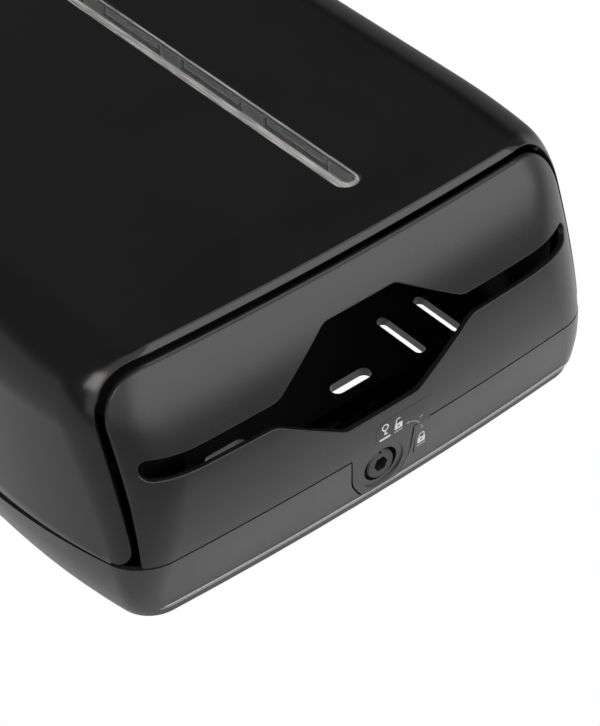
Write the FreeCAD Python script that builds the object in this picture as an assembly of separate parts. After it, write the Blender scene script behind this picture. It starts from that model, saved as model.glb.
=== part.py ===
"""Wall dispenser for folded paper towels: a hinged cover with a key lock, on a back body.

Millimetres, +Z up, as mounted on a wall.  X runs across, the wall is the plane Y = 0 and
the front faces -Y.  The origin is the centre of the four wall slots.  In this script a
place is (x, out, up): out is the distance from the wall, and up is the height above the
lowest point of the cover.
"""
import FreeCAD, Part
import math
import os

Vector = FreeCAD.Vector
os.makedirs("parts", exist_ok=True)

# ---- overall form ---------------------------------------------------------------------
width = 290.0                # across the widest place, at the parting line
height = 400.0               # between the bulges of the two ends
depth = 134.0                # wall face to front face
mount_up = height / 2        # height of the origin, the centre of the wall slots
parting_out = 34.6           # parting line at the lock end
parting_out_top = 9.0        # parting line at the hinge end
parting_slope = 0.111        # how fast the parting line falls towards the wall
parting_start = 10.0         # height at which it starts to fall
parting_gap = 0.7
body_draft = 4.7             # how far the body narrows from the parting line to the wall
side_draft = 1.5             # how far each side of the cover leans in
front_round = 34.0           # rounding between the sides and the front
bow_radius = 1764.0          # crown of each end, across the width
end_radius = 135.0           # curve of each end, from wall to front
bulge_out = 52.5             # where the ends stand out most
side_bow_radius = 383.0      # bow of the sides towards each end
side_bow_up = 99.0           # where the bow ends and the side runs straight
corner_radius = 23.0         # corners seen from the front, at the parting line
corner_wide = 40.0           # the same corners where the front's rounding begins
corner_front = 5.0           # the same corners where they meet the front face
shell_wall = 2.8
panel_wall = 3.0
body_wall = 2.8
plate = 3.2                  # back plate on the wall
flange_out = 5.0             # stepped foot of the body along the wall
flange_step = 1.0
past = 20.0                  # how far a cut reaches past what it cuts

# ---- end panel ------------------------------------------------------------------------
lip_side = 13.0              # from the side of the cover to the opening in its lower end
lip_half_width = width / 2 - lip_side
lip_corner = 28.0
lip_wall = 3.0               # thickness of the shell's lip along the front
groove = 2.2                 # open groove round the panel
shell_corner = 11.0          # rounded lower corners of the shell
shell_corner_up = 6.0        # how far up they start
shell_corner_depth = 6.0     # how far in from the lip they are cut
post_radius = 4.0            # screw posts of the shell
towel_slot_rise = 2.4        # the arms of the towel opening rise this much towards their ends
arm_margin = 8.5             # from the end of an arm of the towel opening to the lip
arm_end = lip_half_width - arm_margin
arm_knee = arm_end - 26.5    # where the arms begin to rise
arm_width = 10.2
arm_out = 83.4
hexagon_top = 110.8
hexagon_bottom = 55.0
hexagon_top_half = 20.5
hexagon_top_corner = 8.0
hexagon_bottom_corner = 9.0
shoulder_top_half = 53.5     # where the hexagon runs into the arms
shoulder_bottom_half = 57.0
shoulder_corner = 12.0
shoulder_top_rise = 0.6
shoulder_bottom_drop = 0.2
arm_bend = 60.0
arm_tip_lean = 0.4
arm_tip_top = 4.4            # corners at the end of an arm
arm_tip_bottom = 5.0
tab_width = 14.0
tab_thick = 2.5
tab_reach = 52.0
tab_post_up = 44.0
tab_root = 0.5               # how deep the tabs stand in the panel
front_tab_side = 61.0        # from the side of the cover to the front tabs
front_tab_x = width / 2 - front_tab_side
front_post_length = 9.0
side_tab_out = 66.0
side_post_margin = 8.0       # from the side of the cover to the foot of the side posts
side_post_length = 11.0
arm_post_length = 12.0

# ---- lock -----------------------------------------------------------------------------
lock_out = 20.6
tongue_radius = 17.0
tongue_flare = 1.4
tongue_knee = 3.4            # where the tongue's sides turn in, from the lock towards the wall
tongue_bend = 15.3
tongue_tip_half = 9.35
tongue_tip_bend = 13.6
dish_radius = 13.0
dish_depth = 0.9
lock_hole_radius = 9.5
plunger_radius = 7.7
lock_face_up = 3.8           # the button's face, level with the floor of the dish
housing_up = 7.2             # inner side of the tongue, levelled for the housing
housing_radius = 12.4
housing_wall = 2.2
housing_length = 12.0
housing_seat_gap = 0.4       # round the housing where it stands on the tongue
housing_ear = (12.5, 14.5)   # screws from the lock's axis, across and outwards
ear_radius = 3.6
housing_bite = 3.4           # depth of the screw holes in the panel
lock_travel = 3.0
plunger_flange = 9.7
plunger_flange_thick = 2.0
plunger_rest_gap = 0.2       # flange to the floor of the housing, at rest
plunger_edge = 0.6
plunger_clearance = 0.1
plunger_length = 10.4
sleeve_wall = 1.4
flange_clearance = 0.3
mark_half = 0.6              # notch in the button that points outwards
mark_start = 6.3
mark_depth = 0.8
core_radius = 5.1
core_head_radius = 6.1
core_head_length = 1.6
core_head_clearance = 0.1
core_cap_clearance = 0.4
clip_groove = 1.0            # length of the groove for the clip
clip_groove_depth = 0.8
clip_groove_gap = 0.3        # from the button's sleeve to the groove
clip_thick = 0.9
clip_rim = 1.2
clip_slit_half = 1.6
clip_clearance = 0.05
socket_flats = 7.0
socket_depth = 9.0
spring_wire = 0.5
spring_turns = 3
cap_thick = 2.0
cam_gap = 2.0                # cap to cam, at rest
cam_thick = 2.2
cam_width = 8.0
drive_square = 6.0           # square end of the core that the cam sits on
cam_screw_radius = 1.2
cam_screw_grip = 6.0
cam_screw_head = 4.6
cam_screw_head_length = 1.4
cam_tail = 5.5
tooth_inner = 14.4
tooth_outer = 16.4
tooth_height = 6.0
keeper_sheet = 1.6
keeper_half_width = 6.0
keeper_lip_out = 8.0
keeper_foot = 14.0
keeper_foot_side = 10.0      # the foot is this much wider on each side
keeper_screw_side = 5.0
keeper_lip_gap = 0.5         # pushed-in cam to the lip
push_clearance = 0.9

# ---- wall slots -----------------------------------------------------------------------
wide_slot = (38.0, 24.0, 8.0)            # x, length, width of the slots that run across
tall_slots = ((78.0, 34.0, 6.0), (102.0, 34.0, 6.0))
wide_slot_up = 71.5
tall_slot_up = 81.0
slot_collar = 2.4
slot_collar_height = 1.6

# ---- hinge ----------------------------------------------------------------------------
hinge_up = height - 16.0
hinge_out = 12.0
knuckle_radius = 4.5
knuckle_side = 45.0          # from the side to the outer face of the body's knuckle
knuckle_x = width / 2 - knuckle_side
knuckle_length = 9.0
arm_gap = 0.4
arm_length = 9.0
pin_radius = 2.0
pin_clearance = 0.05
pin_head = 3.2
pin_head_length = 1.6
plate_top = height - 18.0
rim_top = height - 22.0
arm_plate = 3.0
arm_reach = 46.0
arm_drop = 26.0
arm_web_low = 3.0            # the web about the pin
arm_web_high = 3.5
arm_web_corner = 4.0
arm_web_bend = 8.0
arm_foot = 14.0
arm_foot_top = 2.0
arm_foot_reach = 5.0         # from the arm's knuckle to the cover's posts
arm_screw_back = 7.0
arm_screw_low = 6.0
arm_screw_high = 8.0
arm_screw_bite = 8.0
pin_tip = 0.6
lug_root = 24.0              # the knuckle's lug, down from the top of the back plate
lug_bend_down = 16.0
lug_bend_out = 4.0
lug_bend = 6.0
lug_end = 4.0
lug_front_inset = 0.4
lug_front_down = 3.0
lug_back_down = 4.0

# ---- window ---------------------------------------------------------------------------
window_x = 34.0
window_width = 13.6
window_low = 56.0
window_high = height - 56.0
lens_fit = 0.15
lens_thick = 2.2
lens_flange = 3.2
lens_flange_thick = 1.5
channel_wall = 1.2
channel_low = 4.5
channel_high = 7.5
channel_period = 64.0
channel_long = 42.0
channel_short = 15.5
channel_gap = 2.6
channel_start = 10.0         # from the lower tip to the first stretch
channel_rim = 1.2            # thickness of the rim that carries the walls
channel_setback = 1.0        # from the edge of the lens's flange to the rim

# ---- inside ---------------------------------------------------------------------------
cheek_side = 24.0            # from the side of the cover to the tray's cheeks
cheek_x = width / 2 - cheek_side
cheek_thick = 2.5
cheek_front = 30.0           # height of the cheek's straight front
cheek_front_corner = 6.0
cheek_bend = 18.0
cheek_top_out = 24.0
ledge_up = 21.0
ledge_thick = 2.5
ledge_width = 26.0
ledge_out = 95.0
ledge_setback = 4.0
cheek_top = 118.0
strip_low = 26.0
strip_high = 60.0
strip_thick = 2.5
keeper_window = 17.0         # half width of the notch for the keeper
keeper_notch = 20.0          # the notch's height above the keeper's riser
tray_screw_x = 52.0
tray_screw_side = 13.0       # from a cheek to the outer screws of the strip
guide_side = 29.0            # from the side of the cover to the guides
guide_x = width / 2 - guide_side
guide_thick = 2.4
guide_low = 130.0
guide_clearance = 6.0        # below the hinge arms
guide_high = hinge_up - arm_drop - guide_clearance
guide_out = 88.0
guide_foot = 8.0
guide_corner = 22.0
guide_screw_end = 20.0
guide_window = 26.0          # height of the windows in a guide
guide_window_side = 24.0     # from the wall and from the guide's front edge to a window
guide_window_corner = 8.0
guide_window_start = 50.0
guide_window_end = 40.0
guide_window_pitch = 46.0
screw_head = 3.2
screw_head_thick = 1.9
screw_shank = 1.45
screw_recess = 1.12
screw_recess_depth = 1.14
screw_hole_clearance = 0.1
plate_screw_start = 1.0      # the back plate's screw holes stop this far from the wall
hole_margin = 0.5            # a blind hole is this much deeper than its screw
post_floor = 1.5             # what is left of a post below its hole
label_thick = 0.25
legend_left = -4.7
legend_right = 27.9
legend_out = 49.0
legend_low_gap = 1.2         # from the parting line to the legend
legend_corner = 2.0
locked_gap = 2.9             # from the tongue to the small label
locked_low = 13.8
locked_high_gap = 1.4
locked_corner = 1.5


# ---- helpers --------------------------------------------------------------------------
def at(x, out, up):
    """A place as the finished model's coordinates."""
    return Vector(x, -out, up - mount_up)


def box(x, out, up):
    """A block between two values on each axis."""
    low = at(min(x), max(out), min(up))
    return Part.makeBox(max(x) - min(x), max(out) - min(out), max(up) - min(up), low)


def rod(radius, length, place, direction):
    """A cylinder from a place along a direction."""
    return Part.makeCylinder(radius, length, place, direction)


OUTWARDS = Vector(0, -1, 0)
UPWARDS = Vector(0, 0, 1)
ACROSS = Vector(1, 0, 0)


def one(shape):
    """The single solid that a shape holds."""
    solids = shape.removeSplitter().Solids
    if len(solids) != 1:
        raise ValueError("a piece came out as %d solids" % len(solids))
    return solids[0]


def mirrored(shape):
    """The same shape on the other side of the middle plane."""
    return shape.mirror(Vector(0, 0, 0), ACROSS)


def rounded_wire(points, place):
    """A closed wire through (a, b, radius) corners, placed by place(a, b)."""
    count = len(points)
    corners = []
    for i, (a, b, radius) in enumerate(points):
        before = Vector(points[i - 1][0] - a, points[i - 1][1] - b, 0)
        after = Vector(points[(i + 1) % count][0] - a, points[(i + 1) % count][1] - b, 0)
        before.normalize()
        after.normalize()
        half = before.getAngle(after) / 2
        reach = radius / math.tan(half)
        corner = Vector(a, b, 0)
        middle = before + after
        middle.normalize()
        bend = corner + middle * (radius / math.sin(half) - radius)
        corners.append((corner + before * reach, bend, corner + after * reach, radius))
    edges = []
    for i, (start, bend, end, radius) in enumerate(corners):
        if radius > 0:
            ends = [place(p.x, p.y) for p in (start, bend, end)]
            edges.append(Part.Arc(*ends).toShape())
        following = corners[(i + 1) % count][0]
        if end.distanceToPoint(following) > 1e-4:
            line = Part.LineSegment(place(end.x, end.y), place(following.x, following.y))
            edges.append(line.toShape())
    return Part.Wire(edges)


def end_prism(points, up):
    """A prism along the height from corners (x, out, radius)."""
    wire = rounded_wire(points, lambda x, out: at(x, out, min(up)))
    return Part.Face(wire).extrude(UPWARDS * (max(up) - min(up)))


def front_prism(points, out):
    """A prism from the wall outwards from corners (x, up, radius)."""
    wire = rounded_wire(points, lambda x, up: at(x, min(out), up))
    return Part.Face(wire).extrude(OUTWARDS * (max(out) - min(out)))


def side_prism(points, x):
    """A prism across the width from corners (up, out, radius)."""
    wire = rounded_wire(points, lambda up, out: at(min(x), out, up))
    return Part.Face(wire).extrude(ACROSS * (max(x) - min(x)))


def rectangle(a, b, radius):
    """Corners of a rounded rectangle between two values on each axis."""
    return [(a[0], b[0], radius), (a[1], b[0], radius), (a[1], b[1], radius), (a[0], b[1], radius)]


def with_mirror(half):
    """Corners of a shape that is the same on both sides, from its right half."""
    return half + [(-x, b, radius) for x, b, radius in reversed(half)]


# ---- the outer form -------------------------------------------------------------------
def end_rise(out, inset):
    """Height of an end's lowest line at a distance from the wall."""
    def curve(place):
        return end_radius - math.sqrt((end_radius - inset) ** 2 - (place - bulge_out) ** 2)
    if out >= parting_out:
        return curve(out)
    return curve(parting_out) + body_draft * (1 - out / parting_out)


def outline(out, half_width, inset, corner):
    """The closed outline of the form at a distance from the wall."""
    rise = end_rise(out, inset)
    bow = (Vector(0, rise + bow_radius, 0), bow_radius)
    side = (Vector(half_width - side_bow_radius, side_bow_up, 0), side_bow_radius)
    line = side[0] - bow[0]
    span = line.Length
    near = bow[1] - corner
    far = side[1] - corner
    along = (near ** 2 - far ** 2 + span ** 2) / (2 * span)
    across = math.sqrt(near ** 2 - along ** 2)
    line.normalize()
    aside = Vector(line.y, -line.x, 0) * across
    foot = bow[0] + line * along
    centre = max(foot + aside, foot - aside, key=lambda p: p.x)

    def touch(arc):
        away = centre - arc[0]
        away.normalize()
        return away
    low = bow[0] + touch(bow) * bow[1]
    turn = touch(bow) + touch(side)
    turn.normalize()
    bend = centre + turn * corner
    high = side[0] + touch(side) * side[1]
    tip = Vector(half_width, side_bow_up, 0)
    middle = touch(side) + ACROSS
    middle.normalize()
    sweep = side[0] + middle * side[1]

    def right(p):
        return at(p.x, out, p.y)

    def left(p):
        return at(-p.x, out, p.y)

    def upper_right(p):
        return at(p.x, out, height - p.y)

    def upper_left(p):
        return at(-p.x, out, height - p.y)
    bottom = Vector(0, rise, 0)
    edges = [
        Part.Arc(left(low), right(bottom), right(low)),
        Part.Arc(right(low), right(bend), right(high)),
        Part.Arc(right(high), right(sweep), right(tip)),
        Part.LineSegment(right(tip), upper_right(tip)),
        Part.Arc(upper_right(tip), upper_right(sweep), upper_right(high)),
        Part.Arc(upper_right(high), upper_right(bend), upper_right(low)),
        Part.Arc(upper_right(low), upper_right(bottom), upper_left(low)),
        Part.Arc(upper_left(low), upper_left(bend), upper_left(high)),
        Part.Arc(upper_left(high), upper_left(sweep), upper_left(tip)),
        Part.LineSegment(upper_left(tip), left(tip)),
        Part.Arc(left(tip), left(sweep), left(high)),
        Part.Arc(left(high), left(bend), left(low)),
    ]
    return Part.Wire([edge.toShape() for edge in edges])


def form(inset):
    """The dispenser's outer form as one solid, moved inwards by inset."""
    half = width / 2
    round_out = depth - front_round
    levels = [(0.0, half - body_draft, corner_radius - body_draft)]
    for share in (0.0, 0.25, 0.6, 1.0):
        out = parting_out + (round_out - parting_out) * share
        corner = corner_radius + (corner_wide - corner_radius) * math.sin(share * math.pi / 2)
        levels.append((out, half - side_draft * share, corner))
    for degrees in (22.5, 45.0, 67.5, 90.0):
        angle = math.radians(degrees)
        reach = front_round - inset
        out = round_out + reach * math.sin(angle)
        across = half - side_draft - front_round + reach * math.cos(angle) + inset
        corner = corner_front + (corner_wide - corner_front) * math.cos(angle)
        levels.append((out, across, corner))
    wires = [outline(out, across - inset, inset, corner - inset) for out, across, corner in levels]
    return Part.makeLoft(wires, True, False)


def wall_side(shift):
    """Everything between the wall and the parting line, moved outwards by shift."""
    fall_end = parting_start + (parting_out - parting_out_top) / parting_slope
    margin = 30.0
    points = [
        (-margin, -margin, 0), (-margin, parting_out + shift, 0),
        (parting_start, parting_out + shift, 0), (fall_end, parting_out_top + shift, 0),
        (height + margin, parting_out_top + shift, 0), (height + margin, -margin, 0),
    ]
    return side_prism(points, (-width, width))


def tongue_outline(grow):
    """Corners of the lock's tongue, seen along the height."""
    radius = tongue_radius + grow
    flare = radius + tongue_flare
    low = lock_out - radius
    knee = lock_out - tongue_knee - grow * 0.2
    return with_mirror([
        (flare, parting_out + groove, 0), (radius, knee, tongue_bend + grow * 0.9),
        (tongue_tip_half + grow * 0.55, low, tongue_tip_bend + grow * 0.8),
    ])


def lip_outline(inset, low):
    """Corners of the opening in the shell's lower end, or of what fills it."""
    side = lip_half_width - inset
    top = depth - lip_wall - inset
    return with_mirror([(side, top, lip_corner - inset), (side, low, 0)])


def towel_opening():
    """Corners of the opening that the towels come out of, with its two arms."""
    upper = arm_out + arm_width / 2
    lower = arm_out - arm_width / 2
    return with_mirror([
        (hexagon_top_half, hexagon_top, hexagon_top_corner),
        (shoulder_top_half, upper + shoulder_top_rise, shoulder_corner),
        (arm_knee, upper, arm_bend),
        (arm_end, upper + towel_slot_rise, arm_tip_top),
        (arm_end - arm_tip_lean, lower + towel_slot_rise, arm_tip_bottom),
        (arm_knee, lower, arm_bend),
        (shoulder_bottom_half, lower - shoulder_bottom_drop, shoulder_corner),
        (hexagon_top_half, hexagon_bottom, hexagon_bottom_corner),
    ])


outer = form(0.0)
above = wall_side(parting_gap / 2)
below = wall_side(-parting_gap / 2)
shell_inside = form(shell_wall)


# ---- screws ---------------------------------------------------------------------------
def screw(seat, direction, grip):
    """A pan-head screw: head on the seat, shank of length grip along direction."""
    head = rod(screw_head, screw_head_thick, seat, direction * -1)
    recess = rod(screw_recess, screw_recess_depth, seat - direction * screw_head_thick, direction)
    return head.fuse(rod(screw_shank, grip, seat, direction)).cut(recess)


def screw_hole(seat, direction, depth_below):
    """The clearance hole for a screw's shank."""
    return rod(screw_shank + screw_hole_clearance, depth_below, seat, direction)


# ---- back body ------------------------------------------------------------------------
def wall_slot_places():
    """Every wall slot as (x, up, length across, length along the height)."""
    x, length, breadth = wide_slot
    places = []
    for up in (wide_slot_up, height - wide_slot_up):
        places += [(sign * x, up, length, breadth) for sign in (-1, 1)]
    for x, length, breadth in tall_slots:
        for up in (tall_slot_up, height - tall_slot_up):
            places += [(sign * x, up, breadth, length) for sign in (-1, 1)]
    return places


def slot_prism(place, grow, out):
    """A round-ended prism at a wall slot, larger all round by grow."""
    x, up, across, along = place
    half_x = across / 2 + grow
    half_up = along / 2 + grow
    radius = min(half_x, half_up) - 0.01
    return front_prism(rectangle((x - half_x, x + half_x), (up - half_up, up + half_up), radius), out)


def tray_screw_places():
    """Seats of the tray's screws, on its strip."""
    up = (strip_low + strip_high) / 2
    return [(sign * x, up) for sign in (-1, 1) for x in (tray_screw_x, cheek_x - tray_screw_side)]


def guide_screw_places():
    """Seats of the guide screws, on the foot of each guide."""
    x = guide_x - guide_foot / 2
    heights = (guide_low + guide_screw_end, guide_high - guide_screw_end)
    return [(sign * x, up) for sign in (-1, 1) for up in heights]


def keeper_screw_places():
    """Seats of the keeper's screws."""
    up = keeper_base_up() + keeper_sheet + keeper_foot / 2
    return [(sign * (keeper_half_width + keeper_screw_side), up) for sign in (-1, 1)]


def keeper_base_up():
    """Height of the keeper's riser: clear of the raised tooth."""
    return cam_up() + cam_thick + tooth_height + lock_travel + push_clearance


def hinge_axis(x):
    """A place on the hinge axis."""
    return at(x, hinge_out, hinge_up)


def back_body():
    """Back plate, side walls, wall slots, hinge knuckles and the notch for the lock."""
    body = outer.common(below)
    across = (-width, width)
    whole = (-past, height + past)
    body = body.cut(form(body_wall).cut(box(across, (-past, plate), whole)))
    body = body.cut(outer.cut(form(flange_step)).common(box(across, (-past, flange_out), whole)))
    body = body.cut(end_prism(tongue_outline(parting_gap), (-past, corner_radius)))
    body = body.cut(box(across, (plate, depth), (rim_top, height + past)))
    body = body.cut(box(across, (-past, depth), (plate_top, height + past)))
    for place in wall_slot_places():
        body = body.fuse(slot_prism(place, slot_collar, (plate, plate + slot_collar_height)))
        body = body.cut(slot_prism(place, 0.0, (-past, past)))
    for x, up in tray_screw_places() + guide_screw_places() + keeper_screw_places():
        body = body.cut(screw_hole(at(x, plate_screw_start, up), OUTWARDS, past))
    lug = hinge_lug()
    return one(body.fuse(lug).fuse(mirrored(lug)))


def hinge_lug():
    """Lug and knuckle of the back plate that hold a hinge pin."""
    start = knuckle_x - knuckle_length
    web = side_prism([
        (plate_top - lug_root, 0.0, 0),
        (plate_top - lug_bend_down, plate + lug_bend_out, lug_bend),
        (hinge_up - lug_front_down, hinge_out + knuckle_radius - lug_front_inset, 0),
        (hinge_up - lug_back_down, hinge_out, 0),
        (plate_top - lug_end, 0.0, 0),
    ], (start, knuckle_x))
    lug = web.fuse(rod(knuckle_radius, knuckle_length, hinge_axis(start), ACROSS))
    return lug.cut(rod(pin_radius, knuckle_length + 2 * past, hinge_axis(start - past), ACROSS))


def towel_tray():
    """Strip on the back plate with a cheek and a ledge at each end for the towel stack."""
    strip_out = (plate, plate + strip_thick)
    tray = box((-cheek_x, cheek_x), strip_out, (strip_low, strip_high))
    notch_top = keeper_base_up() + keeper_notch
    tray = tray.cut(box((-keeper_window, keeper_window), strip_out, (strip_low - past, notch_top)))
    cheek = side_prism([
        (ledge_up, plate, 0), (ledge_up, ledge_out, cheek_front_corner),
        (ledge_up + cheek_front, ledge_out, cheek_bend), (cheek_top, cheek_top_out, cheek_bend),
        (cheek_top, plate, 0),
    ], (cheek_x - cheek_thick, cheek_x))
    ledge_depth = (plate, ledge_out - ledge_setback)
    ledge = box((cheek_x - ledge_width, cheek_x), ledge_depth, (ledge_up, ledge_up + ledge_thick))
    for side in (cheek, ledge):
        tray = tray.fuse(side).fuse(mirrored(side))
    for x, up in tray_screw_places():
        tray = tray.cut(screw_hole(at(x, 0.0, up), OUTWARDS, past))
    return one(tray)


def stack_guide():
    """Upright fin that keeps the towel stack in line, with a foot on the back plate."""
    fin = side_prism([
        (guide_low, plate, 0), (guide_low, guide_out, guide_corner),
        (guide_high, guide_out, guide_corner), (guide_high, plate, 0),
    ], (guide_x, guide_x + guide_thick))
    foot = box((guide_x - guide_foot, guide_x), (plate, plate + guide_thick), (guide_low, guide_high))
    guide = fin.fuse(foot)
    for x, up in guide_screw_places():
        guide = guide.cut(screw_hole(at(x, 0.0, up), OUTWARDS, past))
    window_out = (guide_window_side, guide_out - guide_window_side)
    up = guide_low + guide_window_start
    while up < guide_high - guide_window_end:
        corners = rectangle((up, up + guide_window), window_out, guide_window_corner)
        guide = guide.cut(side_prism(corners, (guide_x - past, guide_x + past)))
        up += guide_window_pitch
    return one(guide)


def latch_keeper():
    """Bent sheet on the back plate with a lip that the lock's tooth goes behind."""
    half = keeper_half_width
    base = keeper_base_up()
    top = base + keeper_sheet
    lip_low = cam_up() + cam_thick + lock_travel + keeper_lip_gap
    lip_front = keeper_lip_out + keeper_sheet
    lip = box((-half, half), (keeper_lip_out, lip_front), (lip_low, top))
    riser = box((-half, half), (plate, lip_front), (base, top))
    foot_half = half + keeper_foot_side
    foot = box((-foot_half, foot_half), (plate, plate + keeper_sheet), (base, top + keeper_foot))
    keeper = lip.fuse(riser).fuse(foot)
    for x, up in keeper_screw_places():
        keeper = keeper.cut(screw_hole(at(x, 0.0, up), OUTWARDS, past))
    return one(keeper)


def plate_screws(places, sheet):
    """Screws through a sheet of a given thickness into the back plate."""
    grip = sheet + plate - plate_screw_start
    return [screw(at(x, plate + sheet, up), OUTWARDS * -1, grip) for x, up in places]


# ---- hinge ----------------------------------------------------------------------------
def hinge_pin():
    """Headed pin, pressed into the body's knuckle, that the cover's arm turns on."""
    start = hinge_axis(knuckle_x - knuckle_length - pin_head_length)
    length = pin_head_length + knuckle_length + arm_gap + arm_length + pin_tip
    pin = rod(pin_radius, length, start, ACROSS)
    return one(pin.fuse(rod(pin_head, pin_head_length, start, ACROSS)))


def hinge_arm():
    """Arm from the hinge pin to the front of the cover."""
    x = knuckle_x + arm_gap
    knuckle = rod(knuckle_radius, arm_length, hinge_axis(x), ACROSS)
    front = hinge_out + arm_reach
    top = hinge_up + arm_web_high
    web = side_prism([
        (hinge_up - arm_web_low, hinge_out, 0), (top, hinge_out, 0),
        (top, front, arm_web_corner), (hinge_up - arm_drop, front, arm_web_bend),
    ], (x + arm_length - arm_plate, x + arm_length))
    arm = knuckle.fuse(web).fuse(arm_flange())
    bore = pin_radius + pin_clearance
    arm = arm.cut(rod(bore, arm_length + 2 * past, hinge_axis(x - past), ACROSS))
    for seat in arm_screw_seats():
        arm = arm.cut(screw_hole(seat - ACROSS * past, ACROSS, 2 * past))
    return one(arm)


def arm_flange():
    """Foot of the arm, flat against the post on the cover's side."""
    x = knuckle_x + arm_gap + arm_length
    front = hinge_out + arm_reach
    heights = (hinge_up - arm_drop, hinge_up - arm_foot_top)
    return box((x - arm_plate, arm_post_x()), (front - arm_foot, front), heights)


def arm_post_x():
    """Where the arm's foot meets the cover's post."""
    return knuckle_x + arm_gap + arm_length + arm_foot_reach


def arm_screw_seats():
    """Seats of the screws that hold the arm to the cover."""
    x = knuckle_x + arm_gap + arm_length - arm_plate
    out = hinge_out + arm_reach - arm_screw_back
    return [at(x, out, up) for up in (hinge_up - arm_drop + arm_screw_low, hinge_up - arm_screw_high)]


# ---- cover shell ----------------------------------------------------------------------
def cover_shell():
    """Front, sides and upper end in one piece, open at the lower end, with its posts."""
    shell = outer.cut(shell_inside).cut(above)
    shell = shell.cut(end_prism(lip_outline(0.0, -past), (-past, side_bow_up / 2)))
    trim = corner_trim()
    shell = shell.cut(trim).cut(mirrored(trim))
    shell = shell.cut(front_prism(window_outline(0.0), (depth - past, depth + past)))
    for post in posts():
        shell = shell.fuse(post)
    return one(shell)


def corner_trim():
    """What is cut away to round a lower corner of the shell."""
    low = end_rise(parting_out, 0.0) + shell_corner_up
    high = low + shell_corner
    back = parting_out + parting_gap / 2
    front = back + shell_corner
    return side_prism([
        (-past, back - past, 0), (high, back - past, 0), (high, back, 0),
        (low, back, shell_corner - 0.01), (low, front, 0), (-past, front, 0),
    ], (lip_half_width - shell_corner_depth, width))


def posts():
    """Screw posts inside the shell, for the end panel and the hinge arms."""
    found = []
    mid_wall = form(shell_wall / 2)
    front = rod(post_radius, depth, front_post_seat(), OUTWARDS).common(mid_wall)
    front = front.cut(screw_hole(front_post_seat(), OUTWARDS, front_post_length - post_floor))
    side = rod(post_radius, width, side_post_seat(), ACROSS).common(mid_wall)
    side = side.cut(screw_hole(side_post_seat(), ACROSS, side_post_length - post_floor))
    found += [front, side]
    for seat in arm_screw_seats():
        start = Vector(arm_post_x(), seat.y, seat.z)
        post = rod(post_radius, width, start, ACROSS).common(mid_wall)
        found.append(post.cut(screw_hole(start, ACROSS, arm_post_length)))
    return found + [mirrored(post) for post in found]


def front_post_seat():
    """Face of the post on the inside of the front."""
    return at(front_tab_x, depth - shell_wall - front_post_length, tab_post_up)


def side_post_seat():
    """Face of the post on the inside of the side."""
    return at(width / 2 - side_post_margin - side_post_length, side_tab_out, tab_post_up)


# ---- end panel ------------------------------------------------------------------------
def end_panel():
    """Lower end with the towel opening, the lock's tongue and four screw tabs."""
    skin = outer.cut(form(panel_wall))
    reach = (-past, side_bow_up / 2)
    face = end_prism(lip_outline(groove, parting_out + parting_gap / 2), reach)
    tongue = end_prism(tongue_outline(0.0), reach)
    footprint = face.fuse(tongue)
    panel = skin.common(footprint)
    seat = housing_block(0.0, housing_up).common(form(panel_wall / 2))
    panel = panel.fuse(seat.common(footprint))
    panel = panel.cut(housing_block(housing_up, housing_up + housing_length, housing_seat_gap))
    panel = panel.cut(end_prism(towel_opening(), reach))
    panel = panel.cut(rod(lock_hole_radius, 2 * past, at(0, lock_out, -past), UPWARDS))
    panel = panel.cut(dish())
    for tab in panel_tabs():
        panel = panel.fuse(tab)
    for x, out in housing_screw_places():
        panel = panel.cut(screw_hole(at(x, out, housing_up - housing_bite), UPWARDS, past))
    return one(panel)


def dish():
    """Shallow round recess about the lock, square to the sloping end."""
    middle = end_rise(lock_out, 0.0)
    slope = Vector(0, body_draft / parting_out, 1)
    slope.normalize()
    return rod(dish_radius, past, at(0, lock_out, middle) + slope * dish_depth, slope * -1)


def panel_tabs():
    """Tabs that reach up inside the shell to its posts."""
    half = tab_width / 2
    heights = (0.0, tab_reach)
    room = form(panel_wall - tab_root)
    seat = front_post_seat()
    out = -seat.y
    front = box((front_tab_x - half, front_tab_x + half), (out - tab_thick, out), heights)
    front = front.common(room).cut(screw_hole(seat - OUTWARDS * past, OUTWARDS, 2 * past))
    seat = side_post_seat()
    outs = (side_tab_out - half, side_tab_out + half)
    side = box((seat.x - tab_thick, seat.x), outs, heights)
    side = side.common(room).cut(screw_hole(seat - ACROSS * past, ACROSS, 2 * past))
    return [front, mirrored(front), side, mirrored(side)]


def panel_screws():
    """Screws from the inside, through the tabs into the shell's posts."""
    beyond = tab_thick - post_floor - hole_margin
    front = screw(front_post_seat() - OUTWARDS * tab_thick, OUTWARDS, front_post_length + beyond)
    side = screw(side_post_seat() - ACROSS * tab_thick, ACROSS, side_post_length + beyond)
    return [front, mirrored(front), side, mirrored(side)]


def arm_screws():
    """Screws from the inside, through the hinge arms into the shell's posts."""
    grip = arm_post_x() - arm_screw_seats()[0].x + arm_screw_bite
    one_side = [screw(seat, ACROSS, grip) for seat in arm_screw_seats()]
    return one_side + [mirrored(part) for part in one_side]


# ---- window ---------------------------------------------------------------------------
def window_outline(grow):
    """Corners of the window strip, larger all round by grow."""
    half = window_width / 2 + grow
    heights = (window_low - grow, window_high + grow)
    return rectangle((window_x - half, window_x + half), heights, half - 0.01)


def window_lens():
    """Clear strip, flush in the front, with a flange behind it."""
    inside = depth - shell_wall
    strip = front_prism(window_outline(-lens_fit), (inside, inside + lens_thick))
    flange = front_prism(window_outline(lens_flange), (inside - lens_flange_thick, inside))
    return one(strip.fuse(flange))


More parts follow.
